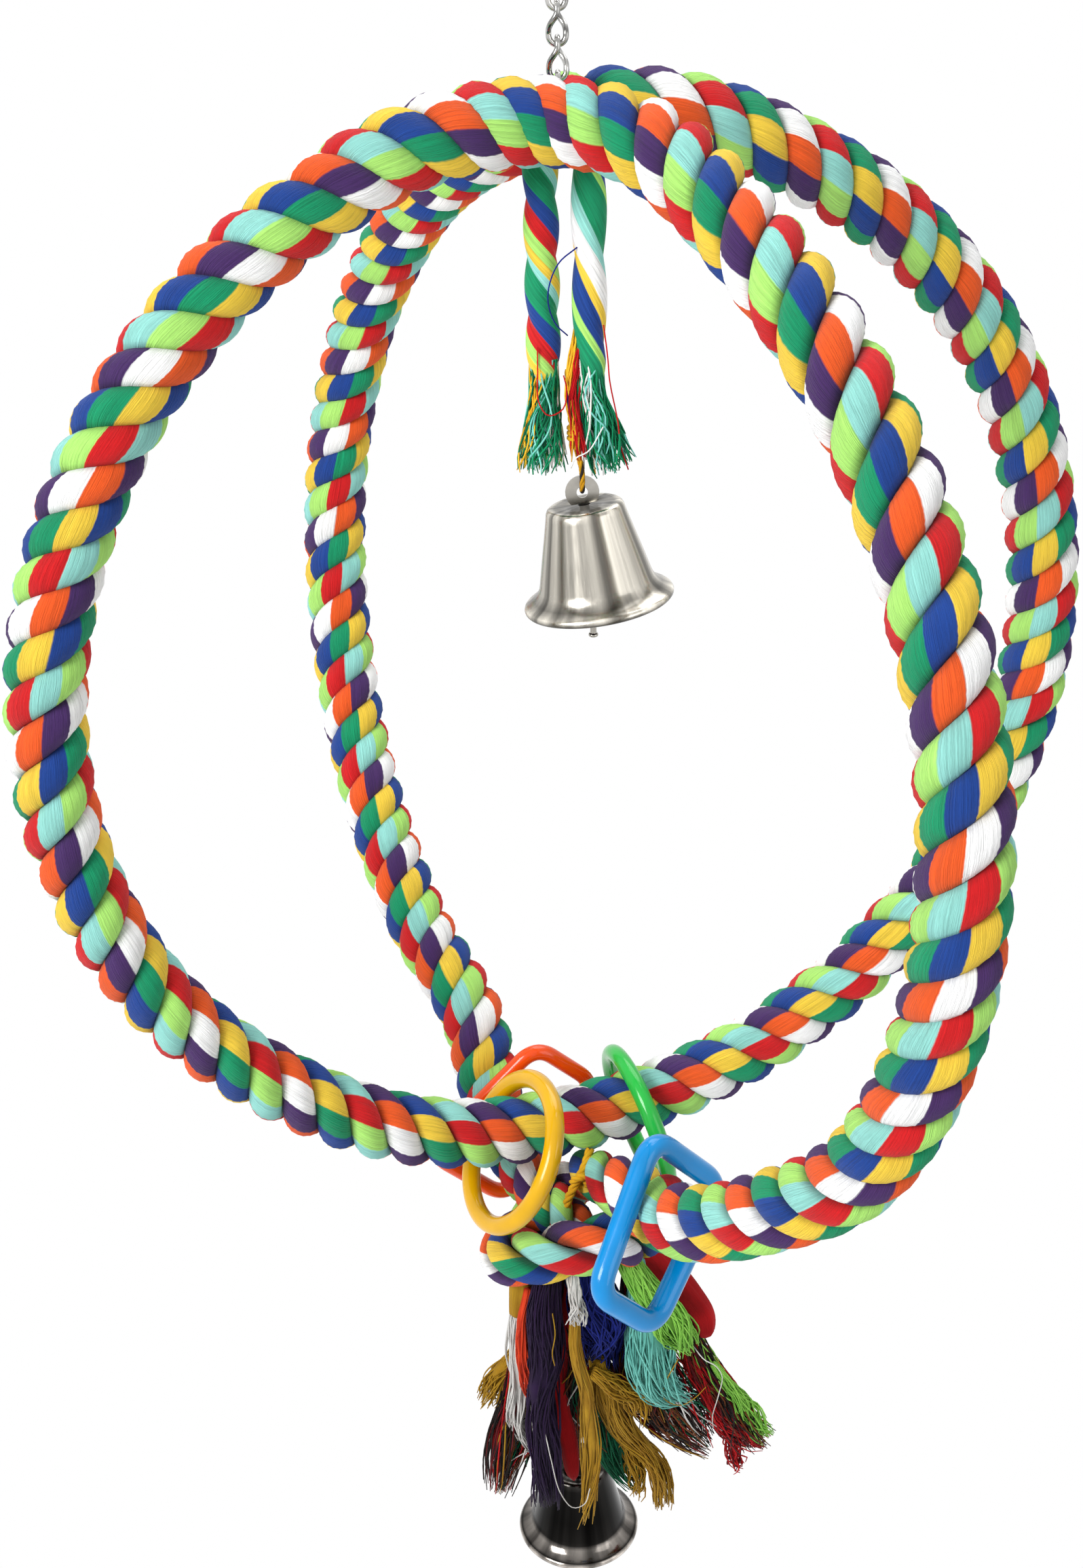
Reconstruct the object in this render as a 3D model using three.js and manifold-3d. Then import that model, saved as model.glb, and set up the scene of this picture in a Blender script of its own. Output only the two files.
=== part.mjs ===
// Rope bird swing: two hoops of thick cotton rope on a short chain, with two bells, four plastic links and a tassel.
// Millimetres, +Z up. The origin is the hang point, inside the top bow of the quick link; -Y is the front.
import * as THREE from 'three';
import { mergeVertices } from 'three/addons/utils/BufferGeometryUtils.js';
import Module from 'manifold-3d';

const wasm = await Module();
wasm.setup();

// Driving dimensions

const GAP = 0.3;               // clearance kept between separate pieces

const QUICK_LINK_WIRE = 2.6;   // wire diameter
const QUICK_LINK_STRAIGHT = 15.6;
const QUICK_LINK_BOW = 5.6;    // centreline radius of each bow
const NUT_LENGTH = 8;
const NUT_ACROSS_FLATS = 6.2;
const NUT_GAP = 4;             // opening in the quick link that the nut closes

const CHAIN_WIRE = 1.7;
const CHAIN_ROOM = 0.35;       // between the inside of a link and the thickest wire or pin it hangs on or holds
const CHAIN_STRAIGHT = 6.4;    // twisted length between the two bows
const CHAIN_LINKS = 4;

const PIN_DIAMETER = 2.6;
const PIN_FRONT = -19;         // ends of the cross pin inside the two rope passes
const PIN_BACK = 25;
const PIN_RISE = 3.5;          // above the middle of the rope in its top passes

const ROPE_DIAMETER = 25.4;
const KNOT_DIAMETER = 17.6;    // the rope is drawn tighter where it is knotted
const ROPE_SIDES = 12;
const ROPE_STEPS = 120;
const KNOT_FROM_START = 60;    // lengths of rope at its two ends that are drawn into the knot
const KNOT_FROM_END = 175;
const KNOT_BLEND = 40;

const TIE_DIAMETER = 3.4;

const SMALL_ROPE_DIAMETER = 10.4;
const LEG_LEFT_X = -5.6;
const LEG_RIGHT_X = 8.6;
const LEG_Y = 0.6;
const LEG_DROP = 8.7;          // from the middle of the top passes down to the centre of a leg's rounded top end
const LEG_BOTTOM = 95;
const FRAY_LENGTH = 25;

const CORD_DIAMETER = 1.8;     // cords that carry the bells
const CORD_SPREAD = 1.7;       // half the distance between the two strands that straddle an eye
const CORD_SEAT = 0.5;         // between the cord and the top of the eye's hole

const BELL_LIP = 48.6;         // outside diameters and height of each bell
const BELL_WAIST = 36;
const BELL_TOP = 22;
const BELL_HEIGHT = 33;
const BELL_FLARE = 8;          // height of the flared lip
const BELL_WALL = 0.9;
const BELL_SEGMENTS = 30;
const EYE_DIAMETER = 10.8;
const EYE_HOLE = 3.6;
const EYE_THICKNESS = 0.8;
const EYE_SEAT = 3.6;          // from the eye's hole down to the bell's crown
const NECK_WIDTH = 3;          // strip of the eye where it passes through the crown
const STRIP_WIDTH = 5.2;       // strip of the eye inside the bell
const STRIP_HOLE = 2.4;
const STRIP_DEPTH = 22;        // from the eye's hole down to the clapper's hole
const CLAPPER_WIRE = 1.2;
const CLAPPER_SEAT = 0.4;      // between the clapper's loop and the bottom of the strip's hole
const CLAPPER_LOOP = 1.8;      // centreline radius of its top loop
const CLAPPER_ROD = 2.1;
const CLAPPER_LENGTH = 26.4;
const CLAPPER_HEAD = 3.2;
const CLAPPER_HEAD_HEIGHT = 1.2;

const UPPER_BELL = [5.8, 0, 62.5];     // the eyes' holes, from the middle of the hoops
const UPPER_BELL_TILT = -8.2;          // degrees about +Y
const LOWER_BELL = [0, 0, -339];

// A ring's seat is where the middle of its tube rests on the rope, and lean points from there to its centre
const YELLOW_RING = {
  radius: 26.7, tube: 6.8, seat: [-25, 6.4, -165.1], lean: [0.097, -0.915, -0.392], normal: [-0.81, -0.3, 0.5],
};
const GREEN_RING = {
  radius: 26.4, tube: 6.4, seat: [20.5, 6.3, -157.5], lean: [0.168, 0.189, -0.968], normal: [0.93, 0.3, 0.22],
};
const BLUE_LINK = {
  top: 32, bottom: 41, height: 54, fillet: 9, tube: 8,
  centre: [26.8, -62.4, -179], normal: [-0.68, 0.69, -0.25], up: [-0.42, -0.65, -0.63],
};
const ORANGE_LINK = {
  top: 31, bottom: 40, height: 58, fillet: 9, tube: 6,
  centre: [-21.1, 17.3, -186.9], normal: [-0.26, 0.97, 0.01], up: [0.39, 0.69, 0.61],
};

// Rope route, from the middle of the hoops: out of the knot, up the back left, over the rear top pass, down the
// back right, through the bottom crossing, up the front left, over the front top pass, down the front right,
// and once round the other end in the knot
const ROPE_ROUTE = [
  [5, -22, -231], [3.5, -22, -217], [-3.5, -17.5, -207], [-14, -5, -202.5], [-24, 11, -196], [-31, 29, -181],
  [-38, 50, -160], [-60, 82, -134],
  [-81, 124, -88], [-91, 155, -30], [-89, 168, 30], [-74, 153, 88], [-52, 114, 131], [-33, 70, 154],
  [-14, 31, 167], [8, 16, 174], [31, 14, 174], [59, 18, 166], [110, 34, 135], [148, 48, 88],
  [168, 57, 30], [170, 60, -30], [151, 55, -88], [113, 42, -134], [60, 23, -165], [1, 1, -175],
  [-51, -20, -165], [-98, -37, -134], [-136, -49, -88], [-156, -54, -30], [-155, -52, 30], [-134, -42, 88],
  [-97, -29, 134], [-50, -17, 165], [-23, -15, 173], [2, -16, 174], [24, -31, 169], [60, -86, 134],
  [83, -127, 88], [95, -155, 30], [93, -163, -30], [79, -148, -88], [55, -110, -134], [36, -74, -165],
  [26, -45, -179.5], [15.5, -26, -185.5], [7, -5.5, -196], [1.5, 6, -206], [-7.5, 6.5, -217.5], [-18, -1.5, -223.5],
  [-25, -13, -223], [-23.5, -25, -217.5], [-13, -34, -209.5], [0, -37.5, -204], [12.5, -35, -203], [21.5, -24.5, -209],
  [24, -11, -216],
];

const TIE_ROUTE = [[6, -9, -182], [3.5, -15, -186], [0, -19, -190.5], [-2.5, -20, -196], [-3, -19.5, -200]];

const UPPER_CORD_ROUTE = [[1.6, 0.6, 101], [1.8, 0.2, 94], [2.4, -0.9, 86], [4.2, -1.6, 77]];
const UPPER_CORD_TAIL = [[4.4, 1.7, 76], [3, 1.6, 83]];
const LOWER_CORD_ROUTE = [[-7, 3.5, -226.9], [-6, 2.4, -243], [-4, 0.8, -262], [-1, -1.2, -284], [0, -1.6, -294]];
const LOWER_CORD_TAIL = [[0, 1.7, -310], [0, 1.8, -296]];

// Hanks of yarn that hang from the knot: a route from the middle of the hoops and the thickness at each point
const HANKS = {
  tassel_purple: {
    colour: 0x3a1f5c,
    route: [[-9, -28, -216], [-12, -30, -241], [-12, -31, -256], [-14, -32, -275], [-13, -33, -298], [-12, -34, -329]],
    thickness: [9, 13, 13, 10, 8, 8],
  },
  tassel_blue: {
    colour: 0x1d2a7a,
    route: [[3, -32, -217], [7, -26, -240], [9, -26, -253], [12, -27, -269]],
    thickness: [10, 15, 15, 10],
  },
  tassel_gold_front: {
    colour: 0xc9971c,
    route: [[-3, -37, -209], [-1, -38, -250], [3, -35, -271], [4, -34, -288], [5, -34, -304], [2, -34, -339]],
    thickness: [4, 6, 6.5, 6.5, 6, 7],
  },
  tassel_gold_right: {
    colour: 0xc9971c,
    route: [[11, -27, -266], [12, -26, -288], [18, -24, -302], [26, -22, -314], [31, -21, -327], [33, -20, -346]],
    thickness: [7, 10, 11, 9, 9, 6],
  },
  tassel_red_centre: {
    colour: 0xb3171b,
    route: [[0, -20, -226], [-8, -21, -278], [-7, -23, -293], [-4, -25, -306], [-2, -26, -325]],
    thickness: [5, 6.5, 7, 7, 5],
  },
  tassel_white: {
    colour: 0xdedbd6,
    route: [[-18, -22, -219], [-21, -20, -244], [-22, -22, -264], [-22, -23, -281], [-21, -24, -296], [-16, -26, -308]],
    thickness: [5, 7, 8, 9, 9, 6],
  },
  tassel_orange: {
    colour: 0xd8431c,
    route: [[-20, -30, -218], [-21, -27, -247], [-21, -29, -262], [-19, -30, -277], [-16, -31, -287]],
    thickness: [3, 4, 4, 4, 3],
  },
  tassel_yellow: {
    colour: 0xc9971c,
    route: [[-18, -9, -262], [-23, -10, -276], [-30, -11, -285], [-34, -12, -299]],
    thickness: [5, 7, 9, 8],
  },
  tassel_core_left: {
    colour: 0x4a2a22,
    route: [[-19, -8, -224], [-20, -12, -280], [-24, -16, -304], [-28, -20, -316], [-31, -22, -333]],
    thickness: [6, 8, 11, 13, 9],
  },
  tassel_green: {
    colour: 0x0f6a48,
    route: [[4, -20, -227], [5, -14, -270], [10, -15, -300], [14, -16, -317], [19, -18, -330], [23, -19, -335]],
    thickness: [5, 6, 8, 10, 12, 9],
  },
  tassel_aqua: {
    colour: 0x6cbcb0,
    route: [[22, -24, -211], [25, -30, -246], [28, -30, -263], [32, -29, -276], [40, -27, -282]],
    thickness: [8, 12, 15, 15, 9],
  },
  tassel_lime: {
    colour: 0x8fd04a,
    route: [[21, -22, -212], [30, -22, -235], [39, -24, -246], [44, -25, -259]],
    thickness: [9, 10, 10, 8],
  },
  tassel_red: {
    colour: 0xb3171b,
    route: [[22, -14, -214], [27, -13, -225], [34, -13, -235], [41, -13, -244], [48, -14, -256], [49, -15, -266]],
    thickness: [9, 11, 11, 10, 9, 7],
  },
  tassel_core_right: {
    colour: 0x5a2422,
    route: [[36, -12, -254], [43, -14, -268], [51, -14, -285], [61, -14, -303], [72, -14, -319]],
    thickness: [7, 10, 11, 12, 9],
  },
  tassel_core_fan: {
    colour: 0x4a2a22,
    route: [[22, -13, -217], [22, -12, -278], [27, -14, -294], [37, -14, -305], [45, -14, -316], [51, -14, -322]],
    thickness: [6, 9, 12, 14, 14, 9],
  },
  tassel_mustard: {
    colour: 0xb08a1e,
    route: [[-20, -8, -225], [-21, -10, -238], [-21, -11, -248]],
    thickness: [6, 7.4, 6],
  },
  tassel_white_loop: {
    colour: 0xdedbd6,
    route: [[3, -38, -209], [4, -41, -223], [4, -43, -234]],
    thickness: [4, 6, 5],
  },
};

// Places along the chain, worked down from the hang point

const hook = QUICK_LINK_WIRE / 2;
const quickLinkReach = QUICK_LINK_STRAIGHT / 2 + QUICK_LINK_BOW;
const quickLinkCentre = hook - quickLinkReach;
const chainBow = (Math.max(QUICK_LINK_WIRE, PIN_DIAMETER, CHAIN_WIRE) + CHAIN_WIRE) / 2 + CHAIN_ROOM;
const linkReach = CHAIN_STRAIGHT / 2 + chainBow;
const linkPitch = 2 * linkReach - CHAIN_WIRE - GAP;
const firstLinkCentre = quickLinkCentre - quickLinkReach + (QUICK_LINK_WIRE + CHAIN_WIRE) / 2 + GAP - linkReach;
const lastLinkCentre = firstLinkCentre - (CHAIN_LINKS - 1) * linkPitch;
const pinZ = lastLinkCentre - linkReach + (CHAIN_WIRE + PIN_DIAMETER) / 2 + GAP;
const passHeight = Math.max(...ROPE_ROUTE.map(([, , z]) => z)); // of the rope's middle in its top passes
const pinHeight = passHeight + PIN_RISE;
const legTop = passHeight - LEG_DROP;
const hoopCentreZ = pinZ - pinHeight;

// Materials

function material(color, roughness, metalness) {
  return new THREE.MeshStandardMaterial({ color, roughness, metalness });
}
const steel = () => material(0xc9c9c6, 0.25, 1);
const nickel = () => material(0xb9b4aa, 0.3, 1);
const cotton = (color) => material(color, 0.95, 0);
const plastic = (color) => material(color, 0.3, 0);

// Geometry helpers

const vector = ([x, y, z]) => new THREE.Vector3(x, y, z);
const spline = (points) => new THREE.CatmullRomCurve3(points.map(vector));

function polygonShape(radius, sides) {
  const points = Array.from({ length: sides }, (_, i) => {
    const angle = (2 * Math.PI * i) / sides;
    return new THREE.Vector2(radius * Math.cos(angle), radius * Math.sin(angle));
  });
  return new THREE.Shape(points);
}

// A round tube of one thickness along an open curve
function tube(curve, diameter, sides, steps) {
  return new THREE.ExtrudeGeometry(polygonShape(diameter / 2, sides), { steps, extrudePath: curve });
}

// A round tube along a closed curve
function closedTube(curve, diameter, sides, steps) {
  return new THREE.TubeGeometry(curve, steps, diameter / 2, sides, true);
}

// A closed tube along an open curve whose radii across and along the frame change with the fraction of its length.
// Both ends can reach a little past the curve's ends.
function loft(curve, steps, sides, radiiAt, past = 0) {
  const frames = curve.computeFrenetFrames(steps, false);
  const positions = [];
  const indices = [];
  const centreAt = (i) => {
    const outward = i === 0 ? -past : (i === steps ? past : 0);
    return curve.getPointAt(i / steps).addScaledVector(frames.tangents[i], outward);
  };
  for (let i = 0; i <= steps; i += 1) {
    const centre = centreAt(i);
    const [across, along] = radiiAt(i / steps);
    for (let j = 0; j < sides; j += 1) {
      const angle = (2 * Math.PI * j) / sides;
      const point = centre.clone()
        .addScaledVector(frames.normals[i], across * Math.cos(angle))
        .addScaledVector(frames.binormals[i], along * Math.sin(angle));
      positions.push(point.x, point.y, point.z);
    }
  }
  const startCap = (steps + 1) * sides;
  const endCap = startCap + 1;
  const start = centreAt(0);
  const end = centreAt(steps);
  positions.push(start.x, start.y, start.z, end.x, end.y, end.z);
  for (let j = 0; j < sides; j += 1) {
    const next = (j + 1) % sides;
    for (let i = 0; i < steps; i += 1) {
      const a = i * sides + j;
      const b = i * sides + next;
      const c = a + sides;
      const d = b + sides;
      indices.push(a, b, c, b, d, c);
    }
    indices.push(startCap, next, j);
    indices.push(endCap, steps * sides + j, steps * sides + next);
  }
  const geometry = new THREE.BufferGeometry();
  geometry.setAttribute('position', new THREE.Float32BufferAttribute(positions, 3));
  geometry.setIndex(indices);
  return geometry;
}

function solidOf(geometry) {
  const bare = geometry.clone();
  bare.deleteAttribute('normal');
  bare.deleteAttribute('uv');
  const merged = mergeVertices(bare, 1e-3);
  const mesh = new wasm.Mesh({
    numProp: 3,
    vertProperties: new Float32Array(merged.attributes.position.array),
    triVerts: new Uint32Array(merged.index.array),
  });
  return new wasm.Manifold(mesh);
}

function geometryOf(solid) {
  const mesh = solid.getMesh();
  const geometry = new THREE.BufferGeometry();
  geometry.setAttribute('position', new THREE.Float32BufferAttribute(mesh.vertProperties, 3));
  geometry.setIndex(new THREE.Uint32BufferAttribute(mesh.triVerts, 1));
  return geometry;
}

// The largest connected piece of a solid
function largest(solid) {
  return solid.decompose().sort((a, b) => b.volume() - a.volume())[0];
}

function piece(name, geometry, finish) {
  const mesh = new THREE.Mesh(geometry, finish);
  mesh.name = name;
  return mesh;
}

// Quick link: a wire oval with an opening in its right side, closed by a sliding threaded nut

class Stadium extends THREE.Curve {
  constructor(straight, bow, startLength, endLength) {
    super();
    Object.assign(this, { straight, bow, startLength, endLength });
  }

  // Measured from the middle of the right side: down, round the bottom bow, up the left side, round the top bow
  getPoint(t, target = new THREE.Vector3()) {
    const half = this.straight / 2;
    const arc = Math.PI * this.bow;
    let length = this.startLength + t * (this.endLength - this.startLength);
    if (length < half) return target.set(this.bow, 0, -length);
    length -= half;
    if (length < arc) {
      const angle = length / this.bow;
      return target.set(this.bow * Math.cos(angle), 0, -half - this.bow * Math.sin(angle));
    }
    length -= arc;
    if (length < this.straight) return target.set(-this.bow, 0, -half + length);
    length -= this.straight;
    if (length < arc) {
      const angle = length / this.bow;
      return target.set(-this.bow * Math.cos(angle), 0, half + this.bow * Math.sin(angle));
    }
    return target.set(this.bow, 0, half - (length - arc));
  }
}

function quickLink() {
  const group = new THREE.Group();
  group.position.z = quickLinkCentre;
  const loopLength = 2 * QUICK_LINK_STRAIGHT + 2 * Math.PI * QUICK_LINK_BOW;
  const openingTop = QUICK_LINK_STRAIGHT / 2 - (NUT_LENGTH - NUT_GAP) / 2;
  const openingBottom = openingTop - NUT_GAP;
  const route = new Stadium(QUICK_LINK_STRAIGHT, QUICK_LINK_BOW, -openingBottom, loopLength - openingTop);
  group.add(piece('quick_link_body', tube(route, QUICK_LINK_WIRE, 8, 34), steel()));

  const outline = polygonShape(NUT_ACROSS_FLATS / Math.sqrt(3), 6);
  outline.holes.push(polygonShape(QUICK_LINK_WIRE / 2 + GAP, 16));
  const nut = new THREE.ExtrudeGeometry(outline, { depth: NUT_LENGTH, bevelEnabled: false });
  const mesh = piece('quick_link_nut', nut, steel());
  mesh.position.set(QUICK_LINK_BOW, 0, (openingTop + openingBottom - NUT_LENGTH) / 2);
  group.add(mesh);
  return group;
}

// Chain link twisted a quarter turn: its lower bow faces the front, its upper bow faces the side

class TwistedLink extends THREE.Curve {
  getPoint(t, target = new THREE.Vector3()) {
    const half = CHAIN_STRAIGHT / 2;
    const arc = Math.PI * chainBow;
    const total = 2 * (CHAIN_STRAIGHT + arc);
    let length = (((t % 1) + 1) % 1) * total;
    const onSide = (fraction, turn) => {
      const eased = fraction * fraction * (3 - 2 * fraction);
      const angle = (Math.PI / 2) * eased + turn;
      const z = -half + CHAIN_STRAIGHT * fraction;
      return target.set(chainBow * Math.cos(angle), chainBow * Math.sin(angle), z);
    };
    if (length < CHAIN_STRAIGHT) return onSide(length / CHAIN_STRAIGHT, 0);
    length -= CHAIN_STRAIGHT;
    if (length < arc) {
      const angle = length / chainBow;
      return target.set(0, chainBow * Math.cos(angle), half + chainBow * Math.sin(angle));
    }
    length -= arc;
    if (length < CHAIN_STRAIGHT) return onSide(1 - length / CHAIN_STRAIGHT, Math.PI);
    const angle = (length - CHAIN_STRAIGHT) / chainBow;
    return target.set(-chainBow * Math.cos(angle), 0, -half - chainBow * Math.sin(angle));
  }
}

function chain() {
  const group = new THREE.Group();
  for (let i = 0; i < CHAIN_LINKS; i += 1) {
    const link = piece(`chain_link_${i + 1}`, closedTube(new TwistedLink(), CHAIN_WIRE, 7, 30), steel());
    link.position.z = firstLinkCentre - i * linkPitch;
    group.add(link);
  }
  return group;
}

// Thick rope, with the bores of the cross pin in its two top passes

const ropeCurve = spline(ROPE_ROUTE);
ropeCurve.arcLengthDivisions = 2000;
const ropeLength = ropeCurve.getLength();

function ropeRadius(fraction) {
  const length = fraction * ropeLength;
  const intoKnot = Math.max(
    1 - THREE.MathUtils.smoothstep(length, KNOT_FROM_START, KNOT_FROM_START + KNOT_BLEND),
    THREE.MathUtils.smoothstep(length, ropeLength - KNOT_FROM_END - KNOT_BLEND, ropeLength - KNOT_FROM_END),
  );
  return THREE.MathUtils.lerp(ROPE_DIAMETER, KNOT_DIAMETER, intoKnot) / 2;
}

function ropeGeometry(extra) {
  return loft(ropeCurve, ROPE_STEPS, ROPE_SIDES, (fraction) => {
    const radius = ropeRadius(fraction) + extra;
    return [radius, radius];
  }, extra);
}

function pinGeometry(diameter, spare) {
  const length = PIN_BACK - PIN_FRONT + 2 * spare;
  const pin = new THREE.CylinderGeometry(diameter / 2, diameter / 2, length, 16);
  pin.translate(0, (PIN_BACK + PIN_FRONT) / 2, pinHeight);
  return pin;
}

function hoops() {
  const group = new THREE.Group();
  const bore = solidOf(pinGeometry(PIN_DIAMETER + 2 * GAP, GAP));
  const rope = solidOf(ropeGeometry(0)).subtract(bore);
  group.add(piece('hoop_rope', geometryOf(rope), cotton(0xc8742c)));
  group.add(piece('cross_pin', pinGeometry(PIN_DIAMETER, 0), steel()));
  const clear = solidOf(ropeGeometry(GAP));
  const tie = solidOf(tube(spline(TIE_ROUTE), TIE_DIAMETER, 8, 8)).subtract(clear);
  group.add(piece('tie_cord', geometryOf(largest(tie)), cotton(0xb98a12)));
  return group;
}

// Plastic rings and links threaded on the rope

function frameOf(normal, up) {
  const y = vector(normal).normalize();
  const z = vector(up);
  z.addScaledVector(y, -z.dot(y)).normalize();
  const x = new THREE.Vector3().crossVectors(y, z);
  return new THREE.Quaternion().setFromRotationMatrix(new THREE.Matrix4().makeBasis(x, y, z));
}

function placed(mesh, { centre, normal, up = [0, 0.3, 1] }) {
  mesh.position.copy(vector(centre));
  mesh.quaternion.copy(frameOf(normal, up));
  return mesh;
}

function roundRing(name, ring, color) {
  const geometry = new THREE.TorusGeometry(ring.radius, ring.tube / 2, 8, 36);
  geometry.rotateX(Math.PI / 2);
  const centre = vector(ring.seat).addScaledVector(vector(ring.lean), ring.radius).toArray();
  return placed(piece(name, geometry, plastic(color)), { centre, normal: ring.normal });
}

// Centreline of a four-sided link with round corners, in its own XZ plane
class RoundedTrapezoid extends THREE.CurvePath {
  constructor({ top, bottom, height, fillet }) {
    super();
    const corners = [
      new THREE.Vector3(-top / 2, 0, height / 2), new THREE.Vector3(top / 2, 0, height / 2),
      new THREE.Vector3(bottom / 2, 0, -height / 2), new THREE.Vector3(-bottom / 2, 0, -height / 2),
    ];
    const ends = corners.map((corner, i) => {
      const back = corners[(i + 3) % 4].clone().sub(corner).normalize();
      const on = corners[(i + 1) % 4].clone().sub(corner).normalize();
      const reach = fillet / Math.tan(back.angleTo(on) / 2);
      return [corner.clone().addScaledVector(back, reach), corner, corner.clone().addScaledVector(on, reach)];
    });
    ends.forEach(([from, corner, to], i) => {
      this.add(new THREE.QuadraticBezierCurve3(from, corner, to));
      this.add(new THREE.LineCurve3(to, ends[(i + 1) % 4][0]));
    });
  }
}

function fourSidedLink(name, link, color) {
  return placed(piece(name, closedTube(new RoundedTrapezoid(link), link.tube, 8, 44), plastic(color)), link);
}

// Small twisted rope: two legs with rounded tops that nest under the two passes, each frayed at its end

function smallRope() {
  const group = new THREE.Group();
  const radius = SMALL_ROPE_DIAMETER / 2;
  const profile = [new THREE.Vector2(0, LEG_BOTTOM), new THREE.Vector2(radius, LEG_BOTTOM)];
  const dome = 6;
  for (let i = 0; i <= dome; i += 1) {
    const angle = (Math.PI / 2) * (i / dome);
    profile.push(new THREE.Vector2(i === dome ? 0 : radius * Math.cos(angle), legTop + radius * Math.sin(angle)));
  }
  const legs = { left: LEG_LEFT_X, right: LEG_RIGHT_X };
  const frayShift = { left: -1.2, right: 7.2 };
  const frayReach = { left: 7.2, right: 7.4 };
  for (const [side, x] of Object.entries(legs)) {
    const leg = piece(`bell_rope_${side}`, new THREE.LatheGeometry(profile, 12).rotateX(Math.PI / 2), cotton(0x2d7a55));
    leg.position.set(x, LEG_Y, 0);
    group.add(leg);
    const top = LEG_BOTTOM - GAP;
    const route = spline([
      [x, LEG_Y, top], [x, LEG_Y, top - FRAY_LENGTH * 0.08],
      [x + frayShift[side] * 0.45, LEG_Y, top - FRAY_LENGTH * 0.5],
      [x + frayShift[side], LEG_Y, top - FRAY_LENGTH],
    ]);
    const fray = loft(route, 6, 10, (fraction) => {
      const wide = THREE.MathUtils.lerp(radius, frayReach[side], fraction);
      return [THREE.MathUtils.lerp(radius, radius + 0.6, fraction), wide];
    });
    group.add(piece(`bell_rope_fray_${side}`, fray, cotton(0x1c8a5a)));
  }
  return group;
}

// A cord that comes down, passes through a bell's eye from front to back and turns up again behind it
function cordThroughEye(lead, eye, tail) {
  const [x, y, z] = eye;
  const bow = z + EYE_HOLE / 2 - CORD_SEAT - CORD_DIAMETER / 2;
  const strandTop = z + EYE_DIAMETER / 2 + 1;
  const points = [
    ...lead, [x, y - CORD_SPREAD, strandTop], [x, y - CORD_SPREAD, bow + CORD_SPREAD],
    [x, y - CORD_SPREAD * 0.7, bow + CORD_SPREAD * 0.3], [x, y, bow], [x, y + CORD_SPREAD * 0.7, bow + CORD_SPREAD * 0.3],
    [x, y + CORD_SPREAD, bow + CORD_SPREAD], [x, y + CORD_SPREAD, strandTop], ...tail,
  ];
  const curve = spline(points);
  curve.getUtoTmapping = (u) => u; // steps follow the points, which lie close together at the eye
  return tube(curve, CORD_DIAMETER, 7, 3 * (points.length - 1));
}

// Bell: a spun shell, a stamped eye that passes through its crown, and a pin clapper on the eye's lower end.
// Its frame has the eye's hole at the origin.

const crownZ = -EYE_SEAT - GAP;

function bellShell() {
  const top = BELL_TOP / 2;
  const waist = BELL_WAIST / 2;
  const lip = BELL_LIP / 2;
  const bore = Math.hypot(NECK_WIDTH, EYE_THICKNESS) / 2 + GAP;
  const corner = 1.6;
  const flareZ = crownZ - BELL_HEIGHT + BELL_FLARE;
  const lipZ = crownZ - BELL_HEIGHT;
  const bead = 1.2;
  const outside = [[bore, crownZ]];
  for (let i = 0; i <= 3; i += 1) {
    const angle = (Math.PI / 2) * (1 - i / 3);
    outside.push([top - corner + corner * Math.cos(angle), crownZ - corner + corner * Math.sin(angle)]);
  }
  const inside = [[bore, crownZ - BELL_WALL], [top - corner, crownZ - BELL_WALL], [top - BELL_WALL, crownZ - corner]];
  for (let i = 0; i <= 4; i += 1) {
    const share = i / 4;
    const radius = waist + (lip - waist) * share * share;
    const z = flareZ - (BELL_FLARE - bead) * share;
    outside.push([radius, z]);
    inside.push([radius - BELL_WALL, z - BELL_WALL * 0.4 * share]);
  }
  outside.push([lip, lipZ]);
  inside.push([lip - BELL_WALL, lipZ]);
  const profile = [...outside, ...inside.reverse(), outside[0]].map(([r, z]) => new THREE.Vector2(r, z));
  return new THREE.LatheGeometry(profile.reverse(), BELL_SEGMENTS).rotateX(Math.PI / 2);
}

function bellEye() {
  const seat = Math.asin(EYE_SEAT / (EYE_DIAMETER / 2));
  const neck = NECK_WIDTH / 2;
  const strip = STRIP_WIDTH / 2;
  const shoulderZ = crownZ - BELL_WALL - GAP;
  const outline = new THREE.Shape();
  outline.moveTo(neck, shoulderZ);
  outline.lineTo(neck, -EYE_SEAT);
  outline.absarc(0, 0, EYE_DIAMETER / 2, -seat, Math.PI + seat, false);
  outline.lineTo(-neck, -EYE_SEAT);
  outline.lineTo(-neck, shoulderZ);
  outline.lineTo(-strip, shoulderZ);
  outline.absarc(0, -STRIP_DEPTH, strip, Math.PI, 2 * Math.PI, false);
  outline.lineTo(strip, shoulderZ);
  outline.closePath();
  outline.holes.push(new THREE.Path().absarc(0, 0, EYE_HOLE / 2, 0, 2 * Math.PI, true));
  outline.holes.push(new THREE.Path().absarc(0, -STRIP_DEPTH, STRIP_HOLE / 2, 0, 2 * Math.PI, true));
  const plate = new THREE.ExtrudeGeometry(outline, { depth: EYE_THICKNESS, bevelEnabled: false, curveSegments: 10 });
  plate.translate(0, 0, -EYE_THICKNESS / 2);
  return plate.rotateX(Math.PI / 2);
}

const clapperPivotZ = -STRIP_DEPTH - STRIP_HOLE / 2 + CLAPPER_SEAT + CLAPPER_WIRE / 2;

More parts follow.
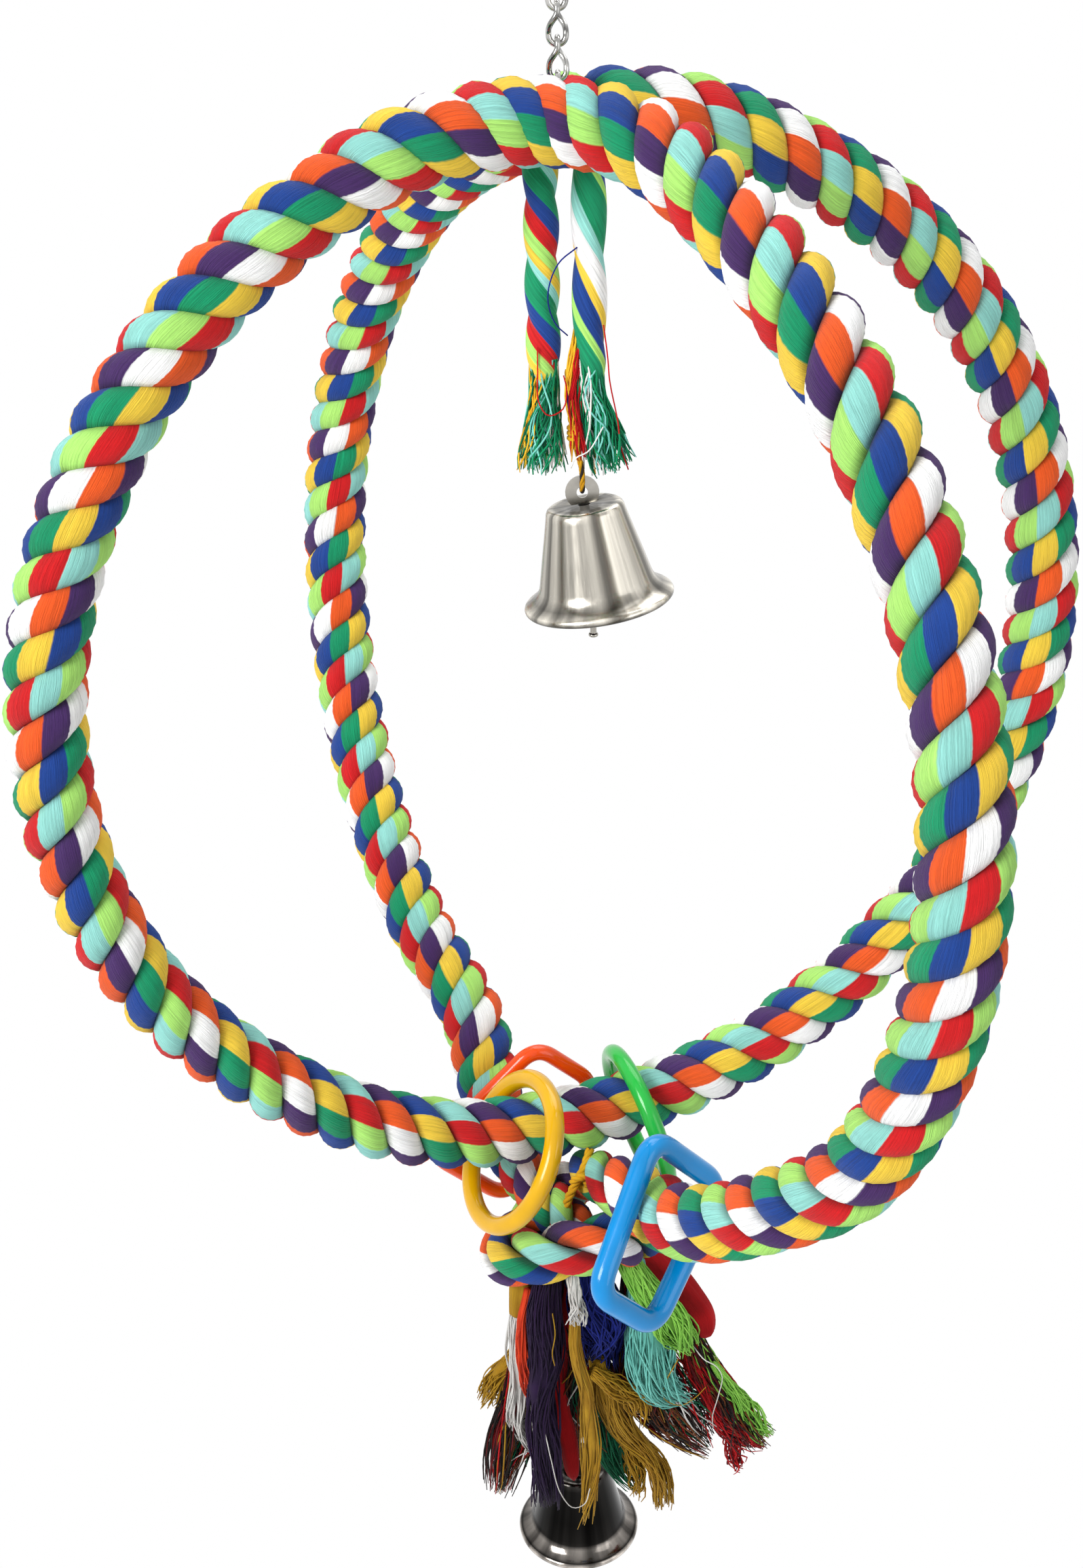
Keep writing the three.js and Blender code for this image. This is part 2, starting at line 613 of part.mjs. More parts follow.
// Measured down from the middle of the wire at the top of its loop
function clapper() {
  const loop = new THREE.TorusGeometry(CLAPPER_LOOP, CLAPPER_WIRE / 2, 7, 16).rotateY(Math.PI / 2);
  loop.translate(0, 0, -CLAPPER_LOOP);
  const rod = CLAPPER_ROD / 2;
  const head = CLAPPER_HEAD / 2;
  const rodTop = -2 * CLAPPER_LOOP + CLAPPER_WIRE / 4;
  const headTop = -CLAPPER_LENGTH + CLAPPER_HEAD_HEIGHT;
  const profile = [
    [0, -CLAPPER_LENGTH], [head * 0.8, -CLAPPER_LENGTH], [head, headTop - CLAPPER_HEAD_HEIGHT / 3],
    [head * 0.9, headTop], [rod, headTop], [rod, rodTop], [0, rodTop],
  ].map(([r, z]) => new THREE.Vector2(r, z));
  const pin = new THREE.LatheGeometry(profile, 10).rotateX(Math.PI / 2);
  return geometryOf(solidOf(loop).add(solidOf(pin)));
}

function bell(name, place, tilt) {
  const group = new THREE.Group();
  const pivot = new THREE.Vector3(0, 0, clapperPivotZ);
  const body = new THREE.Group();
  body.rotation.y = THREE.MathUtils.degToRad(tilt);
  pivot.applyEuler(body.rotation);
  body.add(piece(`${name}_shell`, bellShell(), nickel()));
  body.add(piece(`${name}_eye`, bellEye(), nickel()));
  const striker = piece(`${name}_clapper`, clapper(), nickel());
  striker.position.copy(pivot);
  group.add(body, striker);
  group.position.copy(vector(place));
  return group;
}

// Tassel: tapered hanks, each cut back where it meets the rope, the toys or a hank before it

function hankGeometry({ route, thickness }, extra) {
  const curve = spline(route);
  const spans = thickness.length - 1;
  return loft(curve, 2 * spans, 8, (fraction) => {
    const place = Math.min(fraction * spans, spans - 1e-6);
    const i = Math.floor(place);
    const radius = THREE.MathUtils.lerp(thickness[i], thickness[i + 1], place - i) / 2 + extra;
    return [radius, radius];
  }, extra);
}

function tassel(obstacles) {
  const group = new THREE.Group();
  let taken = obstacles;
  for (const [name, hank] of Object.entries(HANKS)) {
    const free = largest(solidOf(hankGeometry(hank, 0)).subtract(taken));
    group.add(piece(name, geometryOf(free), cotton(hank.colour)));
    taken = taken.add(solidOf(hankGeometry(hank, GAP)));
  }
  return group;
}

// Assembly

const swing = new THREE.Group();
swing.add(quickLink(), chain());

const hoopFrame = new THREE.Group();
hoopFrame.position.z = hoopCentreZ;
hoopFrame.add(hoops());
hoopFrame.add(roundRing('yellow_ring', YELLOW_RING, 0xf2b705));
hoopFrame.add(roundRing('green_ring', GREEN_RING, 0x2fae4a));
hoopFrame.add(fourSidedLink('blue_link', BLUE_LINK, 0x2b8fe0));
hoopFrame.add(fourSidedLink('orange_link', ORANGE_LINK, 0xf05a1e));
hoopFrame.add(smallRope());
hoopFrame.add(piece('upper_bell_cord', cordThroughEye(UPPER_CORD_ROUTE, UPPER_BELL, UPPER_CORD_TAIL), cotton(0xd9a514)));
hoopFrame.add(bell('upper_bell', UPPER_BELL, UPPER_BELL_TILT));
hoopFrame.add(piece('lower_bell_cord', cordThroughEye(LOWER_CORD_ROUTE, LOWER_BELL, LOWER_CORD_TAIL), cotton(0x3b3230)));
hoopFrame.add(bell('lower_bell', LOWER_BELL, 0));
hoopFrame.add(tassel(solidOf(ropeGeometry(GAP))));
swing.add(hoopFrame);

export default swing;
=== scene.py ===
# Rope bird swing: two hoops of one thick three-strand rope on a short chain, with two bells on cords,
# four plastic links and a tassel of unlaid yarn. Lengths are millimetres until a mesh is made.
import math

import bpy
import numpy as np
from mathutils import Matrix, Vector

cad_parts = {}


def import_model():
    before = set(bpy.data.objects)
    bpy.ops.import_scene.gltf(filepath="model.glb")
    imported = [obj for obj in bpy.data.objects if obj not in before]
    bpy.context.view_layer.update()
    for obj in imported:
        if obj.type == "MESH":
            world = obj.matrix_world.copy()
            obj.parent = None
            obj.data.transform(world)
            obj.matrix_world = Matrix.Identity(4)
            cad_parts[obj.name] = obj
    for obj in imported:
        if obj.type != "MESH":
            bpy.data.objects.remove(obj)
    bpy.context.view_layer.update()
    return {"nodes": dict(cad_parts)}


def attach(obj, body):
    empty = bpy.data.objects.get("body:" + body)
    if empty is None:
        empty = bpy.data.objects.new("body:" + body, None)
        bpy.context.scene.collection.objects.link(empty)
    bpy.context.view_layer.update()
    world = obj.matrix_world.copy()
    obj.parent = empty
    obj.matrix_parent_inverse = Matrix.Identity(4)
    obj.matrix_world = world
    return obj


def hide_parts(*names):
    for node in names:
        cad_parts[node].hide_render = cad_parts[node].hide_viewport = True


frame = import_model()

MM = 0.001
HOOP_Z = -237.7  # the middle of the hoops, from the hang point
rng = np.random.RandomState(7)


def new_object(name, data):
    made = bpy.data.objects.new(name, data)
    bpy.context.collection.objects.link(made)
    return made


# Camera

SENSOR = 36
FOCAL_PX = 2721.13
FRAME_HEIGHT_PX = 2311
CAMERA_PLACE = (-8.97, -567.56, -15.82)
CAMERA_PITCH = math.radians(24.644)
CAMERA_ROLL = math.radians(1.203)
NEAREST = 0.01  # metres


def set_camera():
    data = bpy.data.cameras.new("camera")
    data.sensor_width = SENSOR
    data.lens = SENSOR * FOCAL_PX / FRAME_HEIGHT_PX
    data.clip_start = NEAREST
    made = new_object("camera", data)
    pitch = Matrix.Rotation(math.pi / 2 - CAMERA_PITCH, 4, "X")
    roll = Matrix.Rotation(-CAMERA_ROLL, 4, "Z")
    made.matrix_world = Matrix.Translation(Vector(CAMERA_PLACE) * MM) @ pitch @ roll
    bpy.context.scene.camera = made
    bpy.context.scene.view_settings.view_transform = "Standard"


set_camera()


# Curves, in millimetres

STILL = 1e-14  # a change of direction too small to follow


def unit(v):
    return v / np.linalg.norm(v, axis=-1, keepdims=True)


def smoothstep(x, a, b):
    t = np.clip((np.asarray(x, float) - a) / (b - a), 0, 1)
    return t * t * (3 - 2 * t)


def columns(*parts):
    """Points from their coordinates."""
    return np.stack(np.broadcast_arrays(*parts), axis=-1)


def round_angles(count):
    return np.linspace(0, math.tau, count, endpoint=False)


def at_hoops(route):
    """Points given from the middle of the hoops, moved to the hang point."""
    return np.array(route, float) + (0, 0, HOOP_Z)


def spline(route, per_span=40):
    """Centripetal Catmull-Rom points through a route."""
    p = np.array(route, float)
    p = np.vstack([2 * p[0] - p[1], p, 2 * p[-1] - p[-2]])
    t = np.linspace(0, 1, per_span, endpoint=False)[:, None]
    out = []
    for i in range(1, len(p) - 2):
        d0, d1, d2 = (math.sqrt(np.linalg.norm(p[i + j] - p[i + j - 1])) for j in range(3))
        m1 = ((p[i] - p[i - 1]) / d0 - (p[i + 1] - p[i - 1]) / (d0 + d1) + (p[i + 1] - p[i]) / d1) * d1
        m2 = ((p[i + 1] - p[i]) / d1 - (p[i + 2] - p[i]) / (d1 + d2) + (p[i + 2] - p[i + 1]) / d2) * d1
        out.append((2 * t**3 - 3 * t**2 + 1) * p[i] + (t**3 - 2 * t**2 + t) * m1
                   + (3 * t**2 - 2 * t**3) * p[i + 1] + (t**3 - t**2) * m2)
    out.append(p[-2][None])
    return np.vstack(out)


class Path:
    """Even steps along a line, with frames that don't turn about it."""

    def __init__(self, line, steps=None, step=None, closed=False):
        line = np.array(line, float)
        run = np.r_[0, np.cumsum(np.linalg.norm(np.diff(line, axis=0), axis=1))]
        self.length = run[-1]
        steps = steps or int(round(self.length / step))
        self.s = np.linspace(0, self.length, steps + 1)
        self.p = columns(*(np.interp(self.s, run, part) for part in line.T))
        self.t = unit(np.gradient(self.p, axis=0))
        if closed:
            self.t[0] = self.t[-1] = unit(self.p[1] - self.p[-2])
        self.n = np.zeros_like(self.p)
        lead = np.array([1, 0, 0]) if abs(self.t[0][0]) < 0.9 else np.array([0, 1, 0])
        self.n[0] = unit(lead - self.t[0] * lead.dot(self.t[0]))
        for i in range(steps):
            v1 = self.p[i + 1] - self.p[i]
            c1 = 2 / v1.dot(v1)
            r = self.n[i] - c1 * v1.dot(self.n[i]) * v1
            t = self.t[i] - c1 * v1.dot(self.t[i]) * v1
            v2 = self.t[i + 1] - t
            c2 = v2.dot(v2)
            n = r - (2 / c2 * v2.dot(r) * v2 if c2 > STILL else 0)
            self.n[i + 1] = unit(n - self.t[i + 1] * n.dot(self.t[i + 1]))
        self.b = np.cross(self.t, self.n)
        if closed:
            slip = math.atan2(np.cross(self.n[-1], self.n[0]).dot(self.t[0]), self.n[-1].dot(self.n[0]))
            self.n = self.around(slip * self.s / self.length)
            self.b = np.cross(self.t, self.n)

    def around(self, angle):
        return self.n * np.cos(angle)[:, None] + self.b * np.sin(angle)[:, None]

    def rings(self, angles):
        """Directions all round each step."""
        return self.n[:, None] * np.cos(angles)[..., None] + self.b[:, None] * np.sin(angles)[..., None]

    def radii(self, widths):
        """Half of evenly spaced widths, at each step."""
        return np.interp(self.s / self.length, np.linspace(0, 1, len(widths)), widths) / 2

    def skin(self, u, lead=0):
        """Texture places: u round the path, and metres along it."""
        return columns(u, (self.s * MM + lead)[:, None])


# Meshes

def smooth_mesh(name, points, faces):
    mesh = bpy.data.meshes.new(name)
    mesh.from_pydata(points, [], faces)
    mesh.polygons.foreach_set("use_smooth", np.ones(len(faces), bool))
    return mesh


def add_layer(mesh, name, places):
    layer = mesh.uv_layers.new(name=name, do_init=False)
    layer.data.foreach_set("uv", places.astype(np.float32).ravel())


class Build:
    """Grids of points, collected into one mesh object."""

    def __init__(self, name):
        self.name = name
        self.points = []
        self.faces = []
        self.uvs = []
        self.kinds = []
        self.count = 0

    def grid(self, points, uv=None, kind=0, caps=True, flip=False, loop=False):
        """Rows of points whose columns close on themselves; loop closes the rows too."""
        rows, cols = points.shape[:2]
        start = self.count
        self.points.append(points.reshape(-1, 3))
        self.count += rows * cols
        if uv is None:
            uv = columns(np.linspace(0, 1, cols + 1), np.linspace(0, 1, rows + 1)[:, None])
        i = np.arange(rows if loop else rows - 1)[:, None]
        j = np.arange(cols)
        here = i * cols
        ahead = (i + 1) % rows * cols
        beside = (j + 1) % cols
        quads = np.stack([here + j, here + beside, ahead + beside, ahead + j], axis=2).reshape(-1, 4) + start
        corners = np.stack([uv[i, j], uv[i, j + 1], uv[i + 1, j + 1], uv[i + 1, j]], axis=2).reshape(-1, 4, 2)
        order = -1 if flip else 1
        self.faces.extend(quads[:, ::order].tolist())
        self.uvs.append(corners[:, ::order].reshape(-1, 2))
        self.kinds.extend([kind] * len(quads))
        if caps and not loop:
            for row, way in ((0, -order), (rows - 1, order)):
                self.fan(points[row], start + row * cols, uv[row], kind, way)

    def fan(self, ring, start, uv, kind, order):
        """Closes an end with triangles to its middle."""
        cols = len(ring)
        centre = self.count
        self.points.append(ring.mean(axis=0)[None])
        self.count += 1
        middle = uv.mean(axis=0)
        for j in range(cols):
            self.faces.append([start + j, start + (j + 1) % cols, centre][::order])
            self.uvs.append(np.array([uv[j], uv[j + 1], middle][::order]))
            self.kinds.append(kind)

    def tube(self, path, radius, sides, kind=0, loop=False, lead=0):
        radius = np.broadcast_to(np.asarray(radius, float), path.s.shape)
        points = path.p[:, None] + radius[:, None, None] * path.rings(round_angles(sides))
        uv = path.skin(np.linspace(0, 1, sides + 1), lead)
        self.grid(points[:-1] if loop else points, uv, kind, loop=loop)

    def make(self, body, materials, nodes=()):
        mesh = smooth_mesh(self.name, (np.vstack(self.points) * MM).tolist(), self.faces)
        add_layer(mesh, "skin", np.vstack(self.uvs))
        mesh.polygons.foreach_set("material_index", np.array(self.kinds, np.int32))
        for item in materials:
            mesh.materials.append(item)
        mesh.update()
        made = new_object(self.name, mesh)
        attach(made, body)
        if nodes:
            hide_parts(*nodes)
        return made


# Materials

WHITE = (250, 250, 250)
ORANGE = (236, 92, 36)
PURPLE = (71, 44, 98)
RED = (206, 29, 33)
AQUA = (148, 216, 207)
LIME = (171, 228, 114)
YELLOW = (240, 203, 68)
BLUE = (30, 67, 144)
GREEN = (22, 146, 100)


def linear(colour):
    """Linear colour of 0 to 255 display values."""
    return tuple(((c / 255 + 0.055) / 1.055) ** 2.4 if c > 10 else c / 255 / 12.92 for c in colour) + (1,)


def toned(colour, tone):
    return [min(255, tone * c) for c in colour]


class Nodes:
    def __init__(self, tree):
        self.tree = tree

    def add(self, kind, settings=None, **inputs):
        """A node with its settings, and its inputs by name or by number as i0, i1 and so on."""
        node = self.tree.nodes.new("ShaderNode" + kind)
        for key, value in (settings or {}).items():
            setattr(node, key, value)
        for key, value in inputs.items():
            numbered = key[0] == "i" and key[1:].isdigit()
            socket = node.inputs[int(key[1:]) if numbered else key]
            if isinstance(value, bpy.types.NodeSocket):
                self.tree.links.new(value, socket)
            else:
                socket.default_value = value
        return node

    def math(self, operation, a, b=0):
        return self.add("Math", {"operation": operation}, i0=a, i1=b).outputs[0]

    def shown(self, lit, seen):
        """One shader for the light that falls on surfaces, another for what is seen, also in a reflection."""
        path = self.add("LightPath").outputs
        indirect = self.math("MAXIMUM", path["Is Glossy Ray"], path["Is Transmission Ray"])
        direct = self.math("MAXIMUM", path["Is Camera Ray"], indirect)
        return self.add("MixShader", i0=direct, i1=lit.outputs[0], i2=seen.outputs[0]).outputs[0]


class Finish(Nodes):
    """A material whose nodes feed a Principled shader."""

    def __init__(self, name, **sockets):
        self.material = bpy.data.materials.new(name)
        self.material.use_nodes = True
        super().__init__(self.material.node_tree)
        self.shader = self.tree.nodes["Principled BSDF"]
        for socket, value in sockets.items():
            self.shader.inputs[socket.replace("_", " ")].default_value = value

    def noise(self, vector, scale=1, detail=2, roughness=0.5):
        return self.add("TexNoise", Vector=vector, Scale=scale, Detail=detail,
                        Roughness=roughness).outputs["Fac"]

    def ramp(self, fac, stops):
        node = self.add("ValToRGB", Fac=fac)
        ends = node.color_ramp.elements
        ends[0].position, ends[0].color = stops[0]
        ends[1].position, ends[1].color = stops[-1]
        for position, colour in stops[1:-1]:
            ends.new(position).color = colour
        return node.outputs["Color"]

    def span(self, fac, low, high):
        return self.add("MapRange", Value=fac, **{"To Min": low, "To Max": high}).outputs[0]

    def tint(self, colour, fac):
        """Colour times a grey factor."""
        return self.add("VectorMath", {"operation": "SCALE"}, i0=colour, Scale=fac).outputs[0]

    def feed(self, socket, value):
        self.tree.links.new(value, self.shader.inputs[socket])

    def bump(self, height, strength, distance):
        node = self.add("Bump", Height=height, Strength=strength, Distance=distance)
        self.feed("Normal", node.outputs[0])

    def skin(self, layer="skin"):
        """The texture place's two parts."""
        place = self.add("UVMap", {"uv_map": layer}).outputs[0]
        return self.add("SeparateXYZ", Vector=place).outputs[:2]

    def place(self, x, y, z=0):
        return self.add("CombineXYZ", X=x, Y=y, Z=z).outputs[0]

    def marks(self, round_it, per_metre, detail=2, roughness=0.5):
        """Noise with so many marks round the skin and in each metre along it."""
        u, v = self.skin()
        place = self.place(self.math("MULTIPLY", u, round_it), self.math("MULTIPLY", v, per_metre))
        return self.noise(place, detail=detail, roughness=roughness)

    def ragged(self, stray, reach):
        """The share of the way round the skin, with edges that stray."""
        shift = self.math("MULTIPLY", self.math("SUBTRACT", stray, 0.5), reach)
        return self.math("FRACT", self.math("ADD", self.skin()[0], shift))


BAND_EDGES = (0.326, 0.34, 0.66, 0.674, 0.986)  # of a strand's three bands, as shares of the way round
# Painted groove shade: how dark the yarn is painted by how far it faces out of the rope, from 0 in a groove
# to 1 on a crown
PAINTED_GROOVE_SHADE = {"From Min": 0, "From Max": 0.6, "To Min": 0.45, "To Max": 1.08}


def strand_finish(name, first, second, third):
    """Three bands of fine soft yarn round a strand, with painted shade that makes them darker down in the
    grooves.
    """
    f = Finish(name, Roughness=0.92, Sheen_Weight=0.1, Sheen_Roughness=0.5, Specular_IOR_Level=0.15)
    colours = [first, first, second, second, third, third, first]
    stops = [(place, linear(colour)) for place, colour in zip((0, *BAND_EDGES, 1), colours)]
    bands = f.ramp(f.ragged(f.marks(15, 60, detail=3), 0.05), stops)
    thread = f.marks(84, 70, detail=4, roughness=0.6)
    cloud = f.marks(3, 90)
    shade = f.math("MULTIPLY", f.span(thread, 0.44, 1.5), f.span(cloud, 0.8, 1.2))
    # Painted shade: the yarn's colour is darkened where the strand turns into a groove, read from the outward
    # layer
    painted_groove_shade = f.add("MapRange", Value=f.skin("outward")[0], **PAINTED_GROOVE_SHADE).outputs[0]
    f.feed("Base Color", f.tint(bands, f.math("MULTIPLY", shade, painted_groove_shade)))
    f.bump(thread, 0.9, 0.0009)
    return f.material


def yarn_finish(name, colour, other):
    """Loose soft yarn: fine fibres along it and a second shade in places."""
    f = Finish(name, Roughness=0.88, Sheen_Weight=0.04, Sheen_Roughness=0.5, Specular_IOR_Level=0.15)
    fibre = f.marks(5, 160, detail=3, roughness=0.6)
    base = f.ramp(f.marks(0, 38), [(0.4, linear(colour)), (0.62, linear(other))])
    f.feed("Base Color", f.tint(base, f.span(fibre, 0.6, 1.25)))
    f.bump(fibre, 0.4, 0.0003)
    return f.material


def plastic_finish(name, colour):
    """Moulded plastic: even colour with faint flow marks under a clear gloss."""
    f = Finish(name, Specular_IOR_Level=0.3, Coat_Weight=0.2, Coat_Roughness=0.04)
    place = f.add("TexCoord").outputs["Object"]
    flow = f.noise(place, 60, 3)
    grain = f.noise(place, 1400)
    f.feed("Base Color", f.ramp(flow, [(0.3, linear(toned(colour, 0.93))), (0.7, linear(colour))]))
    f.feed("Roughness", f.span(flow, 0.13, 0.22))
    f.bump(grain, 0.03, 0.0002)
    return f.material


def metal_finish(name, colour, rough, streak, scale):
    """Plated metal with small changes of roughness, and darker patches in its colour: uneven plating, and
    where they are strong, as on the chain, painted reflection of dark surroundings.
    """
    f = Finish(name, Metallic=1)
    place = f.add("TexCoord").outputs["Object"]
    cloud = f.noise(place, scale, 3)
    fine = f.noise(place, scale * 9)
    # Darker patches: uneven plating, and with a large streak, as on the chain, painted reflection standing in
    # for the dark lines a chrome chain reflects
    dull_plating_and_painted_reflection = toned(colour, 1 - 2 * streak)
    f.feed("Base Color", f.ramp(cloud, [(0.3, linear(dull_plating_and_painted_reflection)), (0.7, linear(colour))]))
    f.feed("Roughness", f.span(fine, rough * 0.75, rough * 1.25))
    f.bump(fine, streak * 0.1, 0.0001)
    return f.material


# Stage and light, in metres

BACKDROP_HALF_WIDTH = 3
FLOOR_FRONT = (-2.6, -1.1)  # y and z
BEND_MIDDLE = (1.1, -0.6)  # of the quarter round from the floor to the wall
BEND_RADIUS = 0.5
WALL_TOP = (1.6, 2.2)
PAPER_GREYS = (0.9, 0.94)
SOFT_LIGHT = 0.44  # strength of the even light from all round
# Each lamp's place, aim, size and power in watts
LAMPS = {
    "key": ((-1.3, -1.2, 0.7), (0, 0, -0.3), (0.9, 0.9), 39),
    "fill": ((1.2, -1, 0.1), (0, 0, -0.3), (0.8, 1.2), 5),
    "top": ((0.2, 0.6, 0.9), (0, 0.1, -0.25), (1.2, 1), 12),
}


def stage():
    f = Finish("backdrop", Roughness=0.9, Specular_IOR_Level=0.1)
    place = f.add("TexCoord").outputs["Object"]
    greys = [(i, (grey, grey, grey, 1)) for i, grey in enumerate(PAPER_GREYS)]
    f.feed("Base Color", f.ramp(f.noise(place, 3), greys))
    glow = f.add("Emission", Color=(1, 1, 1, 1), Strength=1)
    f.tree.links.new(f.shown(f.shader, glow), f.tree.nodes["Material Output"].inputs[0])
    middle_y, middle_z = BEND_MIDDLE
    bend = [(middle_y + BEND_RADIUS * math.sin(a), middle_z - BEND_RADIUS * math.cos(a))
            for a in np.linspace(0, math.pi / 2, 13)]
    sweep = [FLOOR_FRONT, *bend, WALL_TOP]
    points = [(x, y, z) for y, z in sweep for x in (-BACKDROP_HALF_WIDTH, BACKDROP_HALF_WIDTH)]
    faces = [(2 * i, 2 * i + 1, 2 * i + 3, 2 * i + 2) for i in range(len(sweep) - 1)]
    mesh = smooth_mesh("backdrop", points, faces)
    mesh.materials.append(f.material)
    made = new_object("backdrop", mesh)


def world():
    made = bpy.data.worlds.new("studio")
    made.use_nodes = True
    made.node_tree.nodes.clear()
    sky = Nodes(made.node_tree)
    soft, plain = (sky.add("Background", Color=(1, 1, 1, 1), Strength=strength)
                   for strength in (SOFT_LIGHT, 1))
    sky.add("OutputWorld", Surface=sky.shown(soft, plain))
    bpy.context.scene.world = made


def lamp(name, place, aim, size, power):
    data = bpy.data.lights.new(name, "AREA")
    data.shape = "RECTANGLE"
    data.size, data.size_y = size
    data.energy = power
    made = new_object(name, data)
    made.location = place
    made.rotation_euler = (Vector(aim) - Vector(place)).to_track_quat("-Z", "Y").to_euler()


stage()
world()
for lamp_name, settings in LAMPS.items():
    lamp(lamp_name, *settings)


# Thick rope: three strands laid right-handed, each of three bands of yarn

ROPE_ROUTE = [
    (5, -22, -231), (3.5, -22, -217), (-3.5, -17.5, -207), (-14, -5, -202.5), (-24, 11, -196),
    (-31, 29, -181), (-38, 50, -160), (-60, 82, -134),
    (-81, 124, -88), (-91, 155, -30), (-89, 168, 30), (-74, 153, 88), (-52, 114, 131), (-33, 70, 154),
    (-14, 31, 167), (8, 16, 174), (31, 14, 174), (59, 18, 166), (110, 34, 135), (148, 48, 88),
    (168, 57, 30), (170, 60, -30), (151, 55, -88), (113, 42, -134), (60, 23, -165), (1, 1, -175),
    (-51, -20, -165), (-98, -37, -134), (-136, -49, -88), (-156, -54, -30), (-155, -52, 30), (-134, -42, 88),
    (-97, -29, 134), (-50, -17, 165), (-23, -15, 173), (2, -16, 174), (24, -31, 169), (60, -86, 134),
    (83, -127, 88), (95, -155, 30), (93, -163, -30), (79, -148, -88), (55, -110, -134), (36, -74, -165),
    (26, -45, -179.5), (15.5, -26, -185.5), (7, -5.5, -196), (1.5, 6, -206), (-7.5, 6.5, -217.5),
    (-18, -1.5, -223.5), (-25, -13, -223), (-23.5, -25, -217.5), (-13, -34, -209.5), (0, -37.5, -204),
    (12.5, -35, -203), (21.5, -24.5, -209), (24, -11, -216),
]
ROPE_RADIUS = 12.7
KNOT_RADIUS = 9.5
KNOT_LEFT = (60, 100)  # lengths over which the rope widens out of the knot
KNOT_ENTERED = (200, 155)  # lengths from its other end over which it narrows again
TURN_RADIUS = 10.5  # of the knot's front turn
TURN_BACK = 2285  # from here the knotted end shows its strands in the other order
TURN_BLEND = (-25, 15)  # how far before and after that the front turn widens
STRANDS = 3
STRAND_CENTRE = 7.2  # from the rope's axis
STRAND_RADIAL = 5.5
STRAND_ACROSS = 5.8
STRAND_SIDES = 16
STRAND_STEP = 1.6
END_CENTRES = [1, 1]  # the middle points of a strand's two ends face outward
BAND_TURNS = 3  # turns of a strand's bands in one turn of the lay
BACK_BANDS = (-21, 159, 99)

# Turn of the first strand, in degrees, at lengths along the rope
LAY = [
    (0, -2816), (100, -1616), (262, -61), (350, 779), (436, 1610), (630, 3362), (704, 4090), (791, 4945),
    (871, 5675), (920, 6160), (1022, 7004), (1116, 7842), (1210, 8674), (1280, 9263), (1349, 9852),
    (1403, 10323), (1456, 10796), (1505, 11272), (1582, 11990), (1671, 12831), (1708, 13308), (1748, 13649),
    (1806, 14122), (1853, 14477), (1909, 14956), (1961, 15438), (2020, 16049), (2059, 16425), (2185, 17330),
    (2400, 18840),
]
# Turn of each strand's bands, in degrees, at lengths along the rope
BANDS = [
    (0, 630, 470, -60), (262, 419, 320, -210), (300, 348, 288, -235), (350, 285, 224, -275),
    (411, 238, 178, -308), (460, 229, 195, -318), (500, 238, 205, -318), (640, 174, 170, -295),
    (720, 183, 198, -285), (800, 165, 160, -350), (850, 136, 118, -383), (890, 85, 85, -410),
    (915, 47, 25, -420), (1047, 47, 27, -436), (1100, 55, -28, -428), (1205, 73, -42, -410),
    (1280, -8, -68, -428), (1340, -14, -104, -450), (1403, -49, -124, -513), (1456, -105, -168, -573),
    (1500, -176, -238, -640), (1540, -238, -310, -684), (1575, -299, -395, -740), (1675, -452, -440, -795),
    (1705, -392, -392, -775), (1740, -352, -380, -730), (1780, -375, -385, -712), (1850, -398, -410, -750),
    (1915, -420, -420, -770), (1960, -490, -468, -788), (2010, -553, -508, -833), (2059, -619, -550, -880),
    (2400, -900, -830, -1160),
]


def along(table, column, s):
    return np.interp(s, [row[0] for row in table], [row[column] for row in table])


